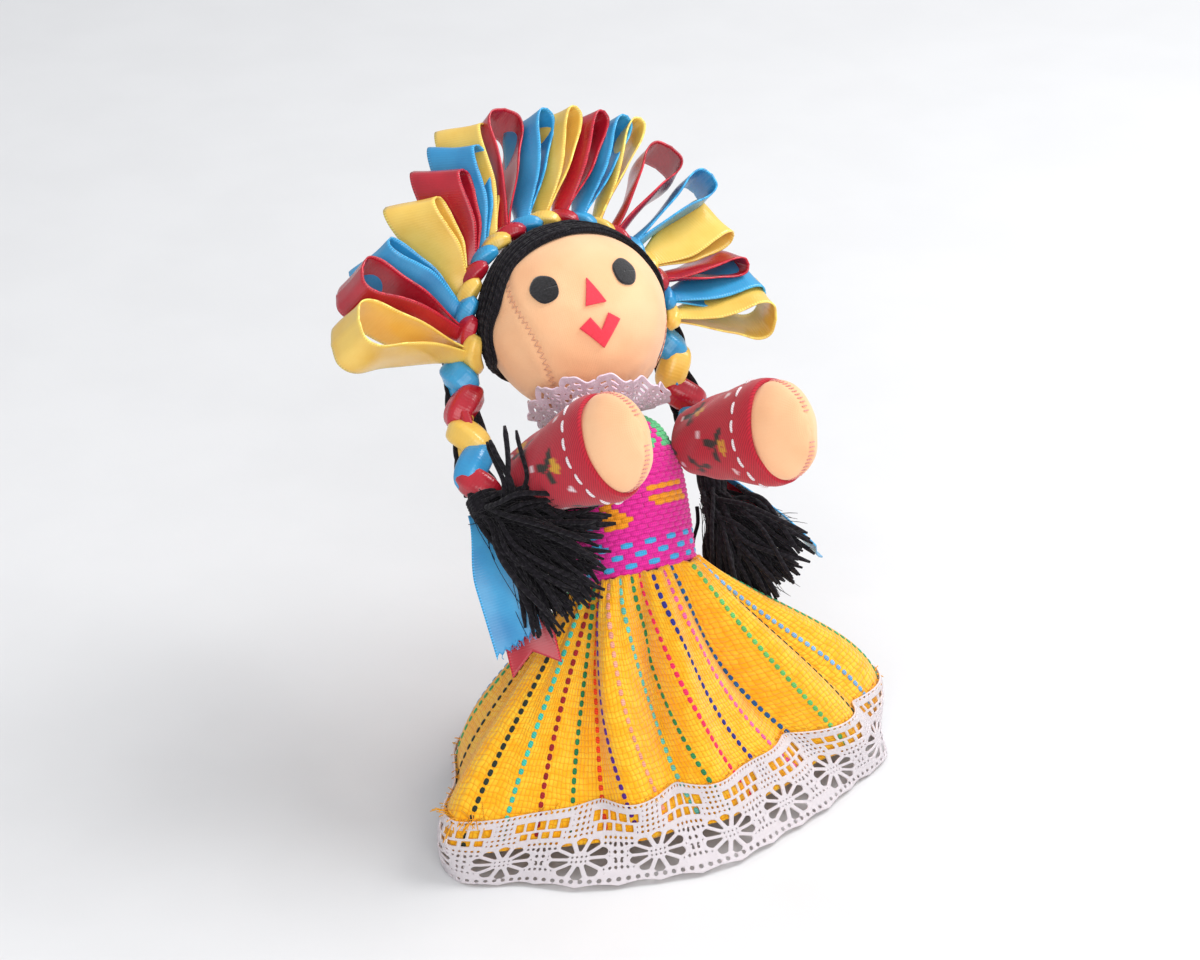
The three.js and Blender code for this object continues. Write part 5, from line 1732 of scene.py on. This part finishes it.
def build_stage():
    scene = bpy.context.scene
    scene.view_settings.view_transform = "Standard"
    camera = bpy.data.cameras.new("photo_view")
    camera.sensor_width, camera.lens = SENSOR_WIDTH, LENS
    camera.clip_start, camera.clip_end = 0.01, 20.0
    holder = bpy.data.objects.new("photo_view", camera)
    scene.collection.objects.link(holder)
    columns = Matrix((CAMERA_RIGHT, CAMERA_UP, CAMERA_BACK)).transposed().to_4x4()
    columns.translation = CAMERA_PLACE
    holder.matrix_world = columns
    scene.camera = holder

    mesh = bpy.data.meshes.new("floor")
    half = FLOOR_HALF
    corners = [(-half, -half, 0), (half, -half, 0), (half, half, 0), (-half, half, 0)]
    mesh.from_pydata(corners, [], [(0, 1, 2, 3)])
    floor = bpy.data.objects.new("floor", mesh)
    scene.collection.objects.link(floor)
    finish = Finish("floor_plain", 0.9)
    base = colours("floor")
    patchy = finish.between(finish.noise(30.0, 3.0), 0.3, 0.7)
    finish.colour(finish.blend(patchy, base, shaded(base, 0.975)))
    finish.bump(finish.noise(700.0, 4.0), 0.1, 0.25)
    mesh.materials.append(finish.material)

    world = bpy.data.worlds.new("soft_room")
    world.use_nodes = True
    scene.world = world
    sky = next(n for n in world.node_tree.nodes if n.type == "BACKGROUND")
    sky.inputs["Color"].default_value = SKY_COLOUR
    sky.inputs["Strength"].default_value = SKY_STRENGTH
    for lamp in LAMPS:
        area_lamp(*lamp)


# Steps, panel and start
class DOLL_OT_stage(bpy.types.Operator):
    """Set the camera, the pale floor and the soft light."""

    bl_idname = "doll.stage"
    bl_label = "Stage"
    bl_options = {"REGISTER", "UNDO"}

    def execute(self, context):
        build_stage()
        return {"FINISHED"}


class DOLL_OT_body(bpy.types.Operator):
    """Make the padded torso under the dress."""

    bl_idname = "doll.body"
    bl_label = "Body"
    bl_options = {"REGISTER", "UNDO"}

    def execute(self, context):
        build_body()
        return {"FINISHED"}


class DOLL_OT_bodice(bpy.types.Operator):
    """Make the hand-woven bodice."""

    bl_idname = "doll.bodice"
    bl_label = "Bodice"
    bl_options = {"REGISTER", "UNDO"}

    def execute(self, context):
        build_bodice()
        return {"FINISHED"}


class DOLL_OT_skirt(bpy.types.Operator):
    """Make the gathered skirt with its dashed stripes."""

    bl_idname = "doll.skirt"
    bl_label = "Skirt"
    bl_options = {"REGISTER", "UNDO"}

    def execute(self, context):
        build_skirt()
        return {"FINISHED"}


class DOLL_OT_hem_lace(bpy.types.Operator):
    """Make the lace round the hem."""

    bl_idname = "doll.hem_lace"
    bl_label = "Hem lace"
    bl_options = {"REGISTER", "UNDO"}

    def execute(self, context):
        build_hem_lace()
        return {"FINISHED"}


class DOLL_OT_legs(bpy.types.Operator):
    """Make the padded legs under the skirt."""

    bl_idname = "doll.legs"
    bl_label = "Legs"
    bl_options = {"REGISTER", "UNDO"}

    def execute(self, context):
        build_legs()
        return {"FINISHED"}


class DOLL_OT_arms(bpy.types.Operator):
    """Make the padded arms with their printed sleeves."""

    bl_idname = "doll.arms"
    bl_label = "Arms"
    bl_options = {"REGISTER", "UNDO"}

    def execute(self, context):
        build_arms()
        return {"FINISHED"}


class DOLL_OT_head(bpy.types.Operator):
    """Make the padded head with its sewn seams."""

    bl_idname = "doll.head"
    bl_label = "Head"
    bl_options = {"REGISTER", "UNDO"}

    def execute(self, context):
        build_head()
        return {"FINISHED"}


class DOLL_OT_face(bpy.types.Operator):
    """Lay the felt eyes, nose and mouth on the face."""

    bl_idname = "doll.face"
    bl_label = "Face"
    bl_options = {"REGISTER", "UNDO"}

    def execute(self, context):
        build_face()
        return {"FINISHED"}


class DOLL_OT_hair(bpy.types.Operator):
    """Comb the yarn hair over the head."""

    bl_idname = "doll.hair"
    bl_label = "Hair"
    bl_options = {"REGISTER", "UNDO"}

    def execute(self, context):
        build_hair()
        return {"FINISHED"}


class DOLL_OT_crown(bpy.types.Operator):
    """Plait the ribbon loops over the head."""

    bl_idname = "doll.crown"
    bl_label = "Crown"
    bl_options = {"REGISTER", "UNDO"}

    def execute(self, context):
        build_crown()
        return {"FINISHED"}


class DOLL_OT_plaits(bpy.types.Operator):
    """Plait the ribbons and yarn at both ears."""

    bl_idname = "doll.plaits"
    bl_label = "Plaits"
    bl_options = {"REGISTER", "UNDO"}

    def execute(self, context):
        build_plaits()
        return {"FINISHED"}


class DOLL_OT_tassels(bpy.types.Operator):
    """Fan out the yarn below the plaits."""

    bl_idname = "doll.tassels"
    bl_label = "Tassels"
    bl_options = {"REGISTER", "UNDO"}

    def execute(self, context):
        build_tassels()
        return {"FINISHED"}


class DOLL_OT_tails(bpy.types.Operator):
    """Hang the ribbon ends below the plaits."""

    bl_idname = "doll.tails"
    bl_label = "Tails"
    bl_options = {"REGISTER", "UNDO"}

    def execute(self, context):
        build_tails()
        return {"FINISHED"}


class DOLL_OT_collar(bpy.types.Operator):
    """Make the lace frill of the collar."""

    bl_idname = "doll.collar"
    bl_label = "Collar"
    bl_options = {"REGISTER", "UNDO"}

    def execute(self, context):
        build_collar()
        return {"FINISHED"}


STEPS = (
    DOLL_OT_stage,
    DOLL_OT_body,
    DOLL_OT_bodice,
    DOLL_OT_skirt,
    DOLL_OT_hem_lace,
    DOLL_OT_legs,
    DOLL_OT_arms,
    DOLL_OT_head,
    DOLL_OT_face,
    DOLL_OT_hair,
    DOLL_OT_crown,
    DOLL_OT_plaits,
    DOLL_OT_tassels,
    DOLL_OT_tails,
    DOLL_OT_collar,
)


class DOLL_PT_maker(bpy.types.Panel):
    """Lists the steps that make the doll, with its sizes and colours."""

    bl_idname = "DOLL_PT_maker"
    bl_label = "Cloth doll"
    bl_space_type = "VIEW_3D"
    bl_region_type = "UI"
    bl_category = "Doll"

    def draw(self, context):
        steps = self.layout.column(align=True)
        for step in STEPS:
            steps.operator(step.bl_idname)
        for group in (context.scene.doll_sizes, context.scene.doll_colours):
            column = self.layout.column(align=True)
            for name in type(group).__annotations__:
                column.prop(group, name)


CLASSES = (DollSizes, DollColours, *STEPS, DOLL_PT_maker)


def register():
    for item in CLASSES:
        bpy.utils.register_class(item)
    bpy.types.Scene.doll_sizes = bpy.props.PointerProperty(type=DollSizes)
    bpy.types.Scene.doll_colours = bpy.props.PointerProperty(type=DollColours)


def unregister():
    del bpy.types.Scene.doll_colours
    del bpy.types.Scene.doll_sizes
    for item in reversed(CLASSES):
        bpy.utils.unregister_class(item)


def main():
    register()
    bpy.ops.doll.stage()
    bpy.ops.doll.body()
    bpy.ops.doll.bodice()
    bpy.ops.doll.skirt()
    bpy.ops.doll.hem_lace()
    bpy.ops.doll.legs()
    bpy.ops.doll.arms()
    bpy.ops.doll.head()
    bpy.ops.doll.face()
    bpy.ops.doll.hair()
    bpy.ops.doll.crown()
    bpy.ops.doll.plaits()
    bpy.ops.doll.tassels()
    bpy.ops.doll.tails()
    bpy.ops.doll.collar()


if __name__ == "__main__":
    main()
